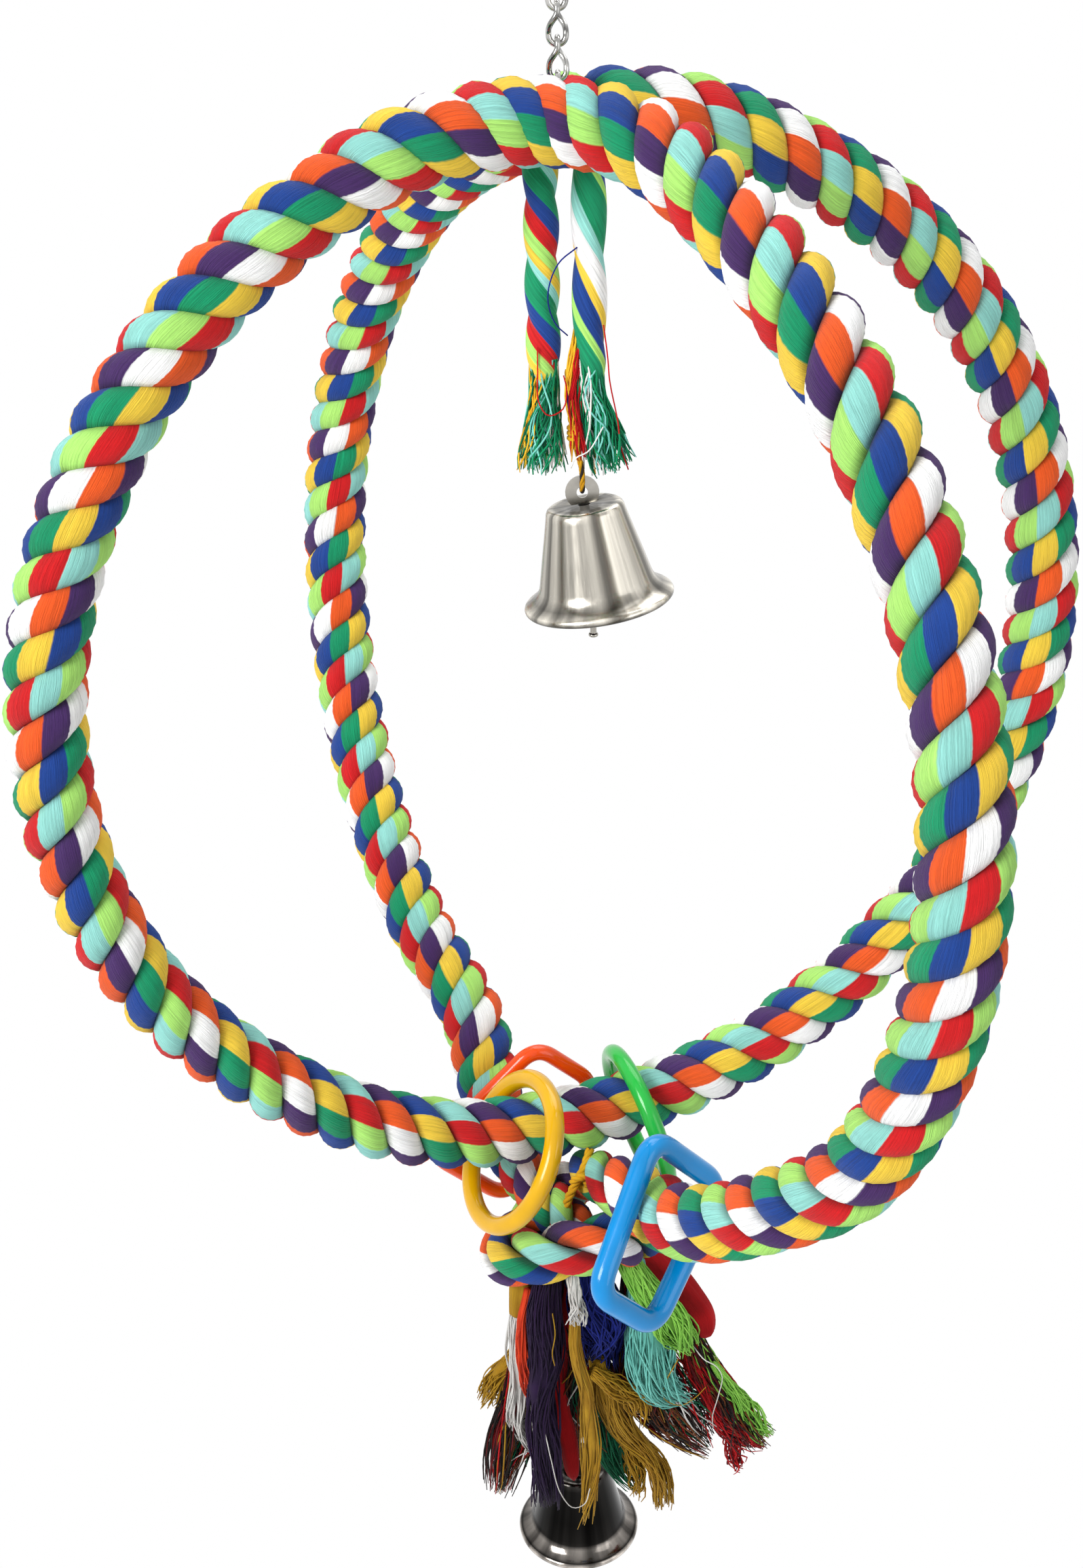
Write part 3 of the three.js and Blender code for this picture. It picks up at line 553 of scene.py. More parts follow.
def thick_rope():
    path = Path(spline(at_hoops(ROPE_ROUTE)), step=STRAND_STEP)
    from_end = path.length - path.s
    tight = np.maximum(1 - smoothstep(path.s, *KNOT_LEFT), smoothstep(from_end, *KNOT_ENTERED))
    front = smoothstep(path.s - TURN_BACK, *TURN_BLEND)
    radius = ROPE_RADIUS + (KNOT_RADIUS - ROPE_RADIUS) * tight + (TURN_RADIUS - KNOT_RADIUS) * front
    scale = radius / ROPE_RADIUS
    theta = np.linspace(-math.pi, math.pi, STRAND_SIDES + 1)
    lay = along(LAY, 1, path.s)
    split = int(np.searchsorted(path.s, TURN_BACK))
    build = Build("hoop_strands")
    outward = []
    for k in range(STRANDS):
        degrees = lay - 360 / STRANDS * k
        out = path.around(np.radians(degrees))
        centre = path.p + STRAND_CENTRE * scale[:, None] * out
        t = unit(np.gradient(centre, axis=0))
        out = unit(out - t * (out * t).sum(axis=1, keepdims=True))
        side = np.cross(t, out)
        ring = (STRAND_RADIAL * out[:, None] * np.cos(theta)[:, None]
                + STRAND_ACROSS * side[:, None] * np.sin(theta)[:, None])
        points = (centre[:, None] + scale[:, None, None] * ring)[:, :-1]
        turned = BAND_TURNS * degrees
        u = (np.degrees(theta) + (turned + along(BANDS, k + 1, path.s))[:, None]) / 360
        u_back = (BACK_BANDS[k] - np.degrees(theta) - turned[:, None]) / 360
        build.grid(points[:split + 1], path.skin(u)[:split + 1], kind=k)
        build.grid(points[split:], path.skin(u_back)[split:], kind=STRANDS - 1 - k)
        for rows in (split + 1, len(path.s) - split):
            outward += [np.tile(np.cos(theta[:-1]), rows), END_CENTRES]
    finishes = [strand_finish("strand_white_orange_purple", WHITE, ORANGE, PURPLE),
                strand_finish("strand_red_aqua_lime", RED, AQUA, LIME),
                strand_finish("strand_yellow_blue_green", YELLOW, BLUE, GREEN)]
    mesh = build.make("hoop", finishes, ["hoop_rope"]).data
    # The outward layer: how far each point faces out of the rope, from which the strands' painted shade
    # darkens them in the grooves
    corners = np.zeros(len(mesh.loops), np.int32)
    mesh.loops.foreach_get("vertex_index", corners)
    facing = np.hstack(outward)[corners]
    add_layer(mesh, "outward", columns(facing, facing))


thick_rope()


# Plastic rings and links

RING_UP = (0, 0.3, 1)


def flat_axes(normal, up):
    y = unit(np.array(normal, float))
    z = np.array(up, float)
    z = unit(z - y * z.dot(y))
    return np.array([np.cross(y, z), z])


def loop_piece(name, flat, tube, centre, axes, colour):
    """A closed tube along a line in its own flat plane."""
    line = at_hoops([centre]) + flat @ axes
    build = Build(name + "_moulding")
    build.tube(Path(line, steps=132, closed=True), tube / 2, sides=24, loop=True)
    build.make(name, [plastic_finish(name, colour)], [name])


def round_ring(name, radius, tube, centre, normal, colour):
    angle = np.linspace(0, math.tau, num=181)
    flat = radius * columns(np.cos(angle), np.sin(angle))
    loop_piece(name, flat, tube, centre, flat_axes(normal, RING_UP), colour)


def four_sided(name, top, bottom, height, fillet, tube, centre, normal, up, colour):
    corner = np.array([(-top, height), (top, height), (bottom, -height), (-bottom, -height)]) / 2
    t = np.linspace(0, 1, num=13)[:, None]
    line = []
    for i in range(4):
        back = unit(corner[i - 1] - corner[i])
        on = unit(corner[(i + 1) % 4] - corner[i])
        reach = fillet / math.tan(math.acos(back.dot(on)) / 2)
        start = corner[i] + back * reach
        end = corner[i] + on * reach
        line.append((1 - t) ** 2 * start + 2 * t * (1 - t) * corner[i] + t**2 * end)
    line = np.vstack(line + [line[0][:1]])
    loop_piece(name, line, tube, centre, flat_axes(normal, up), colour)


round_ring("yellow_ring", radius=26.7, tube=6.8, centre=(-22.4, -18, -175.6),
           normal=(-0.81, -0.3, 0.5), colour=(226, 172, 2))
round_ring("green_ring", radius=26.4, tube=6.4, centre=(24.9, 11.3, -183),
           normal=(0.93, 0.3, 0.22), colour=(36, 178, 66))
four_sided("blue_link", top=32, bottom=41, height=54, fillet=9, tube=8, centre=(26.8, -62.4, -179),
           normal=(-0.68, 0.69, -0.25), up=(-0.42, -0.65, -0.63), colour=(0, 142, 216))
four_sided("orange_link", top=31, bottom=40, height=58, fillet=9, tube=6, centre=(-21.1, 17.3, -186.9),
           normal=(-0.26, 0.97, 0.01), up=(0.39, 0.69, 0.61), colour=(238, 76, 8))


# Chain and quick link, from the hang point

QUICK_LINK_Z = -12.1
QUICK_LINK_WIRE = 2.6
QUICK_LINK_STRAIGHT = 15.6
QUICK_LINK_BOW = 5.6
QUICK_LINK_OPENING = (1.8, 5.8)  # from the link's middle, on the side that the nut closes
NUT_FLATS = 6.2
NUT_ENDS = (-12.3, -4.3)
NUT_BORE = QUICK_LINK_WIRE / 2 + 0.3
NUT_EDGE = 0.3  # broken off the bore's two ends
# Radius of the nut's outside at depths from each end, where the flats don't come first
NUT_SHOULDER = [(2.9, 0), (3.2, 0.25), (3.6, 0.7)]
CHAIN_WIRE = 1.7
CHAIN_STRAIGHT = 6.4
CHAIN_BOW = 2.5
CHAIN_Z = (-28.75, -38.15, -47.55, -56.95)
CHAIN_POINTS = 24  # on each of a link's four stretches


def quick_link(finish):
    half = QUICK_LINK_STRAIGHT / 2
    bow = QUICK_LINK_BOW
    low, high = QUICK_LINK_OPENING
    angle = np.linspace(0, math.pi, 40)
    line = [(bow, low), (bow, -half * 0.5)]
    line += [(bow * math.cos(a), -half - bow * math.sin(a)) for a in angle]
    line += [(-bow * math.cos(a), half + bow * math.sin(a)) for a in angle]
    line += [(bow, high)]
    path = Path([(x, 0, z + QUICK_LINK_Z) for x, z in line], steps=150)
    build = Build("quick_link_wire")
    build.tube(path, QUICK_LINK_WIRE / 2, sides=18)
    build.make("hanger", [finish], ["quick_link_body"])


def quick_link_nut(finish):
    angle = round_angles(count=72)
    flats = NUT_FLATS / 2 / np.cos(np.mod(angle, math.pi / 3) - math.pi / 6)
    low, high = NUT_ENDS
    rows = [(NUT_BORE + NUT_EDGE, low)]
    rows += [(r, low + depth) for r, depth in NUT_SHOULDER]
    rows += [(r, high - depth) for r, depth in reversed(NUT_SHOULDER)]
    rows += [(NUT_BORE + NUT_EDGE, high), (NUT_BORE, high - NUT_EDGE), (NUT_BORE, low + NUT_EDGE)]
    points = np.array([[(QUICK_LINK_BOW + min(r, f) * math.cos(a), min(r, f) * math.sin(a), z)
                        for a, f in zip(angle, flats)] for r, z in rows])
    build = Build("quick_link_hex_nut")
    build.grid(points, loop=True)
    build.make("hanger_nut", [finish], ["quick_link_nut"])


def chain_link(number, z, finish):
    """A loop whose two sides wind a quarter turn between its bows."""
    half = CHAIN_STRAIGHT / 2
    share = np.linspace(0, 1, CHAIN_POINTS)
    turn = math.pi / 2 * smoothstep(share, 0, 1)
    arc = np.linspace(0, math.pi, CHAIN_POINTS)
    rise = -half + CHAIN_STRAIGHT * share
    side = columns(CHAIN_BOW * np.cos(turn), CHAIN_BOW * np.sin(turn), rise)
    other = side * (-1, -1, 1)
    over = columns(0, CHAIN_BOW * np.cos(arc), half + CHAIN_BOW * np.sin(arc))
    under = columns(-CHAIN_BOW * np.cos(arc), 0, -half - CHAIN_BOW * np.sin(arc))
    line = np.vstack([side, over[1:], other[::-1][1:], under[1:]])
    path = Path(line + (0, 0, z), steps=120, closed=True)
    build = Build(f"twisted_link_{number}")
    build.tube(path, CHAIN_WIRE / 2, sides=16, loop=True)
    build.make(f"link_{number}", [finish], [f"chain_link_{number}"])


# The chain's strong dark patches are painted reflection
bright_plating = metal_finish("bright_plating", (206, 205, 202), rough=0.16, streak=0.2, scale=260)
quick_link(bright_plating)
quick_link_nut(bright_plating)
for link_number, link_z in enumerate(CHAIN_Z, 1):
    chain_link(link_number, link_z, bright_plating)


# Bells: a spun shell with a rolled lip, a stamped eye and a pin clapper

# Radius and height from the eye's hole: over the crown, down to the lip and back up inside
BELL_SHELL = [
    (2, -3.9), (8.6, -3.95), (9.6, -4.05), (10.4, -3.95), (11.3, -4), (12.1, -4.5), (12.6, -5.5),
    (12.9, -7), (14.5, -13.5), (16.4, -21), (18.2, -28.4), (18.7, -30), (19.6, -31.5), (21, -32.9),
    (22.5, -33.9), (23.5, -34.4), (24.1, -34.9), (24.4, -35.6), (24.3, -36.3), (23.9, -36.8), (23.4, -36.75),
    (23.1, -36.2), (22.4, -35.5), (21, -34.5), (19.4, -33), (18.2, -31.2), (17.4, -28.6), (15.5, -21),
    (13.6, -13.5), (12, -7.2), (11.5, -6), (10.6, -5.1), (8.8, -4.8), (2, -4.8),
]
# Painted reflection: how bright the nickel is painted at numbered points of the shell, darker and brighter
# rings standing in for what the metal reflects
UPPER_PAINTED_REFLECTION = [
    (0, 0.6), (2, 0.7), (4, 1.15), (7, 1), (9, 0.95), (11, 0.95), (13, 0.72), (14, 0.95), (16, 1.25),
    (18, 0.6), (24, 0.4), (33, 0.3),
]
LOWER_PAINTED_REFLECTION = [
    (0, 0.2), (4, 0.35), (7, 0.15), (9, 0.12), (11, 0.2), (12, 0.7), (14, 0.55), (15, 0.16), (17, 1.1),
    (19, 0.4), (24, 0.25), (33, 0.2),
]
CLAPPER_DROP = -22.2  # from the eye's hole to the top of the clapper's loop
CLAPPER_ROD = [
    (0.02, -26.4), (1.2, -26.4), (1.55, -26.1), (1.6, -25.6), (1.45, -25.25), (1.1, -25.15), (1.05, -25.05),
    (1.05, -24.8), (1.05, -14), (1.05, -3.6), (0.95, -3.3), (0.02, -3.2),
]
CLAPPER_LOOP = 1.8
CLAPPER_WIRE = 1.2
CLAPPER_STEPS = 48
UPPER_EYE = (5.8, 0, 62.5)
UPPER_TILT = -8.2
LOWER_EYE = (0, 0, -339)


def nickel_with_painted_reflection(name, colour, rough, painted_reflection_tones):
    """Spun nickel: fine lines drawn up the bell, with painted reflection: broad bright and dark streaks round
    it and darker and brighter rings down it.
    """
    f = Finish(name, Metallic=1)
    u, v = f.skin()
    turn = f.math("MULTIPLY", u, math.tau)
    x, y = f.math("COSINE", turn), f.math("SINE", turn)
    # Painted reflection: broad bright and dark streaks round the bell, standing in for the studio reflected
    # in it
    broad_painted_reflection = f.noise(f.place(x, y), 3.4)
    lines = f.noise(f.place(x, y, v), 34)
    # Painted reflection: rings of darker and brighter nickel down the shell
    rings = f.ramp(v, [(i / len(BELL_SHELL), linear(toned(colour, tone))) for i, tone in painted_reflection_tones])
    painted_reflection_streaks = f.math("MAXIMUM", f.span(broad_painted_reflection, -0.9, 2.3), 0.32)
    # shade: the painted reflection streaks times the fine lines
    shade = f.math("MULTIPLY", painted_reflection_streaks, f.span(lines, 0.86, 1.14))
    f.feed("Base Color", f.tint(rings, shade))
    f.feed("Roughness", f.span(lines, rough * 0.7, rough * 1.3))
    f.bump(lines, 0.03, 0.0001)
    return f.material


def lathe(build, profile, turn, place, segments, loop=False, flip=False):
    angle = round_angles(segments)
    profile = np.array(profile, float)
    points = columns(profile[:, :1] * np.cos(angle), profile[:, :1] * np.sin(angle), profile[:, 1:])
    points = points @ np.array(turn).T + np.array(place)
    build.grid(points, loop=loop, caps=False, flip=flip)


def dress(node, finish):
    """A finish for a solid that is shown as it is."""
    materials = frame["nodes"][node].data.materials
    materials.clear()
    materials.append(finish)


def bell(name, place, tilt, shell_finish, eye_finish):
    turn = Matrix.Rotation(math.radians(tilt), 3, "Y")
    eye = at_hoops([place])[0]
    build = Build(name + "_spun_shell")
    lathe(build, BELL_SHELL, turn, eye, segments=120, loop=True, flip=True)
    build.make(name, [shell_finish], [name + "_shell"])

    pivot = eye + np.array(turn @ Vector((0, 0, CLAPPER_DROP)))
    build = Build(name + "_pin_clapper")
    lathe(build, CLAPPER_ROD, Matrix.Identity(3), pivot, segments=24)
    angle = np.linspace(0, math.tau, CLAPPER_STEPS + 1)
    y, z = CLAPPER_LOOP * np.cos(angle), CLAPPER_LOOP * np.sin(angle) - CLAPPER_LOOP
    loop = Path(columns(0, y, z) + pivot, steps=CLAPPER_STEPS, closed=True)
    build.tube(loop, CLAPPER_WIRE / 2, sides=12, loop=True)
    build.make(name.replace("bell", "clapper"), [eye_finish], [name + "_clapper"])
    dress(name + "_eye", eye_finish)


# Both shells carry painted reflection in their colour; the lower one is painted darker, standing in for the
# dark tassel it reflects
satin_nickel = nickel_with_painted_reflection("satin_nickel", (200, 195, 184), 0.24, UPPER_PAINTED_REFLECTION)
bright_nickel = nickel_with_painted_reflection("bright_nickel", (196, 188, 180), 0.14, LOWER_PAINTED_REFLECTION)
dark_nickel = metal_finish("dark_nickel", (128, 120, 110), rough=0.22, streak=0.05, scale=120)
pale_nickel = metal_finish("pale_nickel", (186, 182, 174), rough=0.2, streak=0.06, scale=160)
bell("upper_bell", UPPER_EYE, UPPER_TILT, satin_nickel, pale_nickel)
bell("lower_bell", LOWER_EYE, 0, bright_nickel, dark_nickel)
dress("cross_pin", dark_nickel)


# Cords: three plies laid round each other

PLIES = 3
PLY_CENTRE = 0.24  # of the cord's diameter, as are the next two
PLY_RADIUS = 0.26
WRAP_RADIUS = 0.45
CORD_EVERY = 4  # steps between the points taken from a cord's path
WRAP_TURNS = 3
WRAP_ACROSS = 1.5
WRAP_REACH = 3.1
WRAP_RISE = 1.6  # of each turn
CORD_DIAMETER = 1.8
CORD_PITCH = 7
CORD_SPREAD = 1.7  # from the eye's middle to each of the cord's two runs
EYE_SEAT = 0.4  # from the eye's middle up to the cord's lowest point
EYE_LOOP = 6.4  # from the eye's middle up to where the two runs are straight
EYE_BEND = (0.7, 0.3)  # out and up to the middle of the bend's quarters, as shares of the spread


def laid_cord(name, route, diameter, pitch, finishes, body, node=None, knot=None):
    """A cord of three plies; a knot, where it has one, is turns of it round its two runs."""
    path = Path(spline(route, 24), step=0.5)
    build = Build(name)
    for k in range(PLIES):
        out = path.around(math.tau * (path.s / pitch + k / PLIES))
        ply = Path(path.p + PLY_CENTRE * diameter * out, steps=len(path.s) - 1)
        build.tube(ply, PLY_RADIUS * diameter, sides=8, kind=k % len(finishes))
    if knot:
        turns = np.linspace(0, math.tau * WRAP_TURNS, 60)
        around = columns(WRAP_ACROSS * np.cos(turns), WRAP_REACH * np.sin(turns),
                         WRAP_RISE * turns / math.tau)
        wrap = Path(at_hoops(around + np.array(knot)), steps=90)
        build.tube(wrap, WRAP_RADIUS * diameter, sides=8)
    return build.make(body, finishes, [node] if node else []), path


def declare_cord(path, pieces=()):
    points = path.p[::CORD_EVERY]
    if (len(path.p) - 1) % CORD_EVERY:
        points = np.vstack([points, path.p[-1:]])


def through_eye(lead, eye, tail):
    """A route down to an eye, round through its hole from front to back, and up again."""
    x, y, z = eye
    seat = z + EYE_SEAT
    half = [(CORD_SPREAD, z + EYE_LOOP), (CORD_SPREAD, seat + CORD_SPREAD),
            (CORD_SPREAD * EYE_BEND[0], seat + CORD_SPREAD * EYE_BEND[1])]
    loop = [(x, y - out, up) for out, up in half] + [(x, y, seat)]
    loop += [(x, y + out, up) for out, up in reversed(half)]
    return at_hoops(lead + loop + tail)


def bell_cord(name, route, finishes, body, node, knot):
    made, path = laid_cord(name, route, CORD_DIAMETER, CORD_PITCH, finishes, body, node, knot)
    declare_cord(path)


def cord_turn(middle, reach, drift, end):
    """A small turn of cord that drifts to the side and down, by so much for each radian."""
    x, y, z = middle
    aside, down = drift
    return at_hoops([(x + reach[0] * math.cos(a) + aside * a, y - reach[1] * math.sin(a),
                      z + reach[2] * math.sin(a) - down * a) for a in np.linspace(0, end, 15)])


UPPER_CORD = through_eye(
    [(1.6, 0.6, 101), (1.8, 0.2, 94), (2.4, -0.9, 86), (4.2, -1.6, 77)],
    UPPER_EYE, [(4.4, 1.7, 76), (3, 1.6, 83)])
LOWER_CORD = through_eye(
    [(-7, 3.5, -226.9), (-6, 2.4, -243), (-4, 0.8, -262), (-1, -1.2, -284), (0, -1.6, -294)],
    LOWER_EYE, [(0, 1.7, -310), (0, 1.8, -296)])
TIE = at_hoops([(6, -9, -182), (3.5, -15, -186), (0, -19, -190.5), (-2.5, -20, -196), (-3, -19.5, -200)])
TIE_TURN = cord_turn(middle=(1.4, -18.2, -188), reach=(3.2, 1.6, 2.4), drift=(0.4, 0.5), end=2.6 * math.pi)

gold = yarn_finish("gold_yarn", (224, 170, 34), (196, 138, 20))
dark = yarn_finish("dark_cord", (58, 50, 46), (36, 32, 30))
bell_cord("upper_bell_ply", UPPER_CORD, [gold, gold, dark], "bell_rope", "upper_bell_cord",
          knot=(3.4, 0.3, 79))
bell_cord("lower_bell_ply", LOWER_CORD, [dark], "hoop", "lower_bell_cord",
          knot=(0, 0.1, -302))
laid_cord("tie_ply", TIE, 3.4, pitch=9, finishes=[gold], body="hoop", node="tie_cord")
laid_cord("tie_knot_ply", TIE_TURN, 3, pitch=8, finishes=[gold], body="hoop")


# Yarns

GOLDEN_ANGLE = 2.4  # radians from one yarn to the next
YARN_SIDES = 4
THREAD_RADIUS = 0.22
LOCK_SWAY = 0.45  # of a hank's radius
# Two shades of each yarn
YARNS = {
    "white": ((232, 230, 226), (206, 203, 198)), "orange": ((214, 66, 30), (180, 46, 24)),
    "purple": ((54, 24, 78), (36, 16, 56)), "blue": ((24, 38, 128), (16, 24, 92)),
    "red": ((192, 20, 26), (150, 14, 20)), "green": ((18, 132, 88), (10, 92, 62)),
    "aqua": ((126, 204, 192), (92, 170, 158)), "lime": ((150, 212, 90), (116, 180, 66)),
    "gold": ((224, 174, 44), (196, 142, 28)), "black": ((34, 27, 28), (56, 40, 34)),
    "maroon": ((104, 22, 26), (70, 16, 22)), "rust": ((140, 74, 30), (96, 48, 24)),
}


# A copy of a yarn with both shades scaled by tone: painted light where it is brighter, painted shade where it
# is darker
def yarn_in_painted_light(place, name, tone):
    return yarn_finish(f"{place}_{name}", *(toned(shade, tone) for shade in YARNS[name]))


def wave(share, rate, spread, draw, lead):
    """A wave along a yarn, whose rate and start are drawn."""
    return np.sin(share * (rate + spread * draw) + 6 * lead)


def yarns(build, path, radius, count, yarn, kinds, fan, ragged, sway, steps, grouped=False, locks=0):
    """Yarns that follow a path inside its radius, wander, spread and end unevenly."""
    drift = rng.rand(max(locks, 1), 3)
    for i in range(count):
        a, b, c, d, e = rng.rand(5)
        sector = GOLDEN_ANGLE * i / math.tau % 1
        share = np.linspace(0, 1 - ragged * a * a, steps + 1)
        s = share * path.length
        p, n, side = (columns(*(np.interp(s, path.s, part) for part in q.T))
                      for q in (path.p, path.n, path.b))
        loose = smoothstep(share, 0.4, 1)
        angle = GOLDEN_ANGLE * i + 0.8 * share + 0.5 * wave(share, 4, 5, b, c)
        wide = np.interp(s, path.s, radius)
        reach = math.sqrt((i + 0.5) / count) * (wide - yarn / 2)
        reach = reach * (1 + fan * (d - 0.15) * loose)
        stray = sway * yarn * smoothstep(share, 0.02, 0.3) * (1 + 1.5 * e * loose)
        along_n = reach * np.cos(angle) + stray * wave(share, 9, 9, c, d)
        along_b = reach * np.sin(angle) + stray * wave(share, 8, 10, b, a)
        if locks:
            f, g, h = drift[int(sector * locks)]
            curl = LOCK_SWAY * wide * smoothstep(share, 0.1, 0.8)
            along_n = along_n + curl * wave(share, 4, 5, f, g)
            along_b = along_b + curl * wave(share, 4, 5, g, h)
        line = p + along_n[:, None] * n + along_b[:, None] * side
        taper = 1 - 0.5 * smoothstep(share, share[-1] - 0.12, share[-1])
        pick = int((sector + 0.05 * (d - 0.5)) % 1 * len(kinds)) if grouped else i % len(kinds)
        build.tube(Path(line, steps=steps), yarn / 2 * taper, YARN_SIDES, kind=kinds[pick], lead=a)


def loose_thread(build, route, kind):
    build.tube(Path(spline(at_hoops(route), 8), step=1.5), THREAD_RADIUS, YARN_SIDES, kind=kind)


# Small rope: two loosely twisted legs, each a bundle of coloured yarns, frayed at their lower ends

LEG_TOP = 165.3
LEG_BOTTOM = 95
LEG_RADIUS = 5.2
LEG_Y = 0.6
LEG_X = {"left": -5.6, "right": 8.6}
LEG_TWIST = {"left": (287, 34), "right": (158, 52)}  # its start in degrees, and the length of a turn
LEG_WAIST = 0.78  # of the radius, between a leg's two rounds
LEG_ROUND = 0.26  # how much more each round has
LEG_DRAWN_IN = 0.3  # share that a leg narrows by
LEG_DRAWN_OVER = 10  # length above its lower end
LEG_SIDES = 40
LEG_BLEND = 0.004  # share of the way round
# Colours round a leg, each with its share of the way
LEG_BANDS = {
    "left": [(BLUE, 0.18), (RED, 0.19), (LIME, 0.13), (YELLOW, 0.13), (AQUA, 0.1), (GREEN, 0.27)],
    "right": [(GREEN, 0.3), (AQUA, 0.12), (WHITE, 0.2), (YELLOW, 0.1), (BLUE, 0.2), (LIME, 0.08)],
}
FRAY_LENGTH = 25
FRAY_TOP = LEG_BOTTOM - 0.3
FRAY_SHIFT = {"left": -1.2, "right": 7.2}
FRAY_REACH = {"left": 7.2, "right": 7.4}
FRAY_YARN = 0.6
FRAY_ROOT = 10  # length inside the leg
FRAY_NECK = 2  # length below it before it turns aside
FRAY_ROOT_WIDTH = 0.93  # of the leg's
FRAY_SPREADS = 0.35  # share of its length above where it's wider than the leg
# Painted light: the frays' yarns are painted this much brighter than the same yarns elsewhere
FRAY_PAINTED_LIGHT = 1.16
FRAY_DYES = ("green", "aqua", "gold", "white", "lime", "red", "blue")
FRAY_KINDS = {
    "left": [0, 0, 1, 0, 2, 0, 1, 0, 0, 4, 0, 3],
    "right": [0, 0, 1, 0, 3, 0, 2, 0, 3, 4, 0, 1, 0, 0],
}
FRAY_THREADS = {
    "left": [
        ("red", [(-7.4, -4.6, 109), (-7.5, -5.2, 101.7), (-7.4, -5.6, 92.7), (-4.5, -6, 88.4),
                 (0, -5.8, 90.3), (1.3, -4.6, 95.5), (0.4, -3, 100)])],
    "right": [
        ("blue", [(5, -3.4, 138), (-0.5, -4.4, 133.8), (-3.5, -5, 127.5), (-3.9, -5, 121.7),
                  (-1.8, -5, 115.9), (1.8, -4, 112.2)]),
        ("red", [(12.7, -2.6, 114.9), (13.9, -2.4, 105.3), (14.5, -3, 97.9), (16.9, -4, 85.6),
                 (17.8, -3, 77.6), (20.2, -3, 70.2)]),
        ("white", [(12.3, -6, 84.6), (7.7, -6.5, 77.2), (3.6, -6, 74.9), (2.2, -6, 71.8)])],
}
# A second bundle of yarn between the legs
BUNDLE = [(6, 0, 113), (4, -1, 103), (3.2, -1.6, 94), (4.4, -2, 84), (5.6, -2, 73)]
BUNDLE_WIDTHS = [5.2, 5.2]
BUNDLE_KINDS = [5, 6, 5, 2, 3, 5, 2, 0]


def leg_finish(name, bands):
    """Bands of fine yarn side by side round a leg."""
    f = Finish(name, Roughness=0.8, Sheen_Weight=0.15, Sheen_Roughness=0.4, Specular_IOR_Level=0.25)
    fine = f.marks(36, 50, detail=3, roughness=0.6)
    stops = []
    place = 0
    for colour, share in bands:
        stops += [(place + LEG_BLEND, linear(colour)), (place + share - LEG_BLEND, linear(colour))]
        place += share
    base = f.ramp(f.ragged(f.marks(14, 40), 0.09), stops)
    f.feed("Base Color", f.tint(base, f.span(fine, 0.34, 1.62)))
    f.bump(fine, 0.8, 0.0006)
    return f.material


def leg(side):
    x = LEG_X[side]
    start, pitch = LEG_TWIST[side]
    path = Path(at_hoops([(x, LEG_Y, LEG_TOP + LEG_RADIUS), (x, LEG_Y, LEG_BOTTOM)]), step=1)
    dome = np.sqrt(np.clip(1 - (1 - np.clip(path.s / LEG_RADIUS, 0, 1)) ** 2, 0.02, 1))
    dome = dome * (1 - LEG_DRAWN_IN * smoothstep(path.s, path.length - LEG_DRAWN_OVER, path.length))
    theta = np.linspace(0, math.tau, LEG_SIDES + 1)
    bulge = LEG_RADIUS * (LEG_WAIST + LEG_ROUND * np.abs(np.cos(theta)))
    turn = math.radians(start) - math.tau * path.s / pitch
    ring = path.rings(theta + turn[:, None])
    points = path.p[:, None] + (dome[:, None] * bulge)[..., None] * ring
    build = Build(f"bell_rope_{side}_strands")
    build.grid(points[:, :-1], path.skin(theta / math.tau))
    finish = leg_finish("leg_" + side, LEG_BANDS[side])
    return build.make("bell_rope", [finish], [f"bell_rope_{side}"]), path


def fray(side, finishes):
    x, shift = LEG_X[side], FRAY_SHIFT[side]
    route = [(x, LEG_Y, FRAY_TOP + FRAY_ROOT), (x, LEG_Y, FRAY_TOP - FRAY_NECK),
             (x + shift * 0.45, LEG_Y, FRAY_TOP - FRAY_LENGTH / 2),
             (x + shift, LEG_Y, FRAY_TOP - FRAY_LENGTH)]
    path = Path(spline(at_hoops(route)), steps=24)
    widths = [LEG_RADIUS * FRAY_ROOT_WIDTH, LEG_RADIUS, FRAY_REACH[side]]
    radius = np.interp(path.s / path.length, [0, FRAY_SPREADS, 1], widths)
    build = Build(f"bell_rope_fray_{side}_yarns")
    yarns(build, path, radius, count=190, yarn=FRAY_YARN, kinds=FRAY_KINDS[side], fan=0.4, ragged=0.3,
          sway=0.2, steps=10, grouped=True)
    if side == "right":
        path = Path(spline(at_hoops(BUNDLE)), steps=24)
        yarns(build, path, path.radii(BUNDLE_WIDTHS), count=44, yarn=FRAY_YARN, kinds=BUNDLE_KINDS,
              fan=0.4, ragged=0.3, sway=0.5, steps=10)
    for dye, line in FRAY_THREADS[side]:
        loose_thread(build, line, FRAY_DYES.index(dye))
    return build.make("bell_rope", finishes, [f"bell_rope_fray_{side}"])


# Lit copies of the yarns, brightened by the frays' painted light
fray_yarns_painted_lighter = [yarn_in_painted_light("fray", name, FRAY_PAINTED_LIGHT) for name in FRAY_DYES]
for side in LEG_X:
    leg_made, leg_path = leg(side)
    declare_cord(leg_path, [fray(side, fray_yarns_painted_lighter)])


# Tassel: the rope's ends unlaid into hanks of yarn

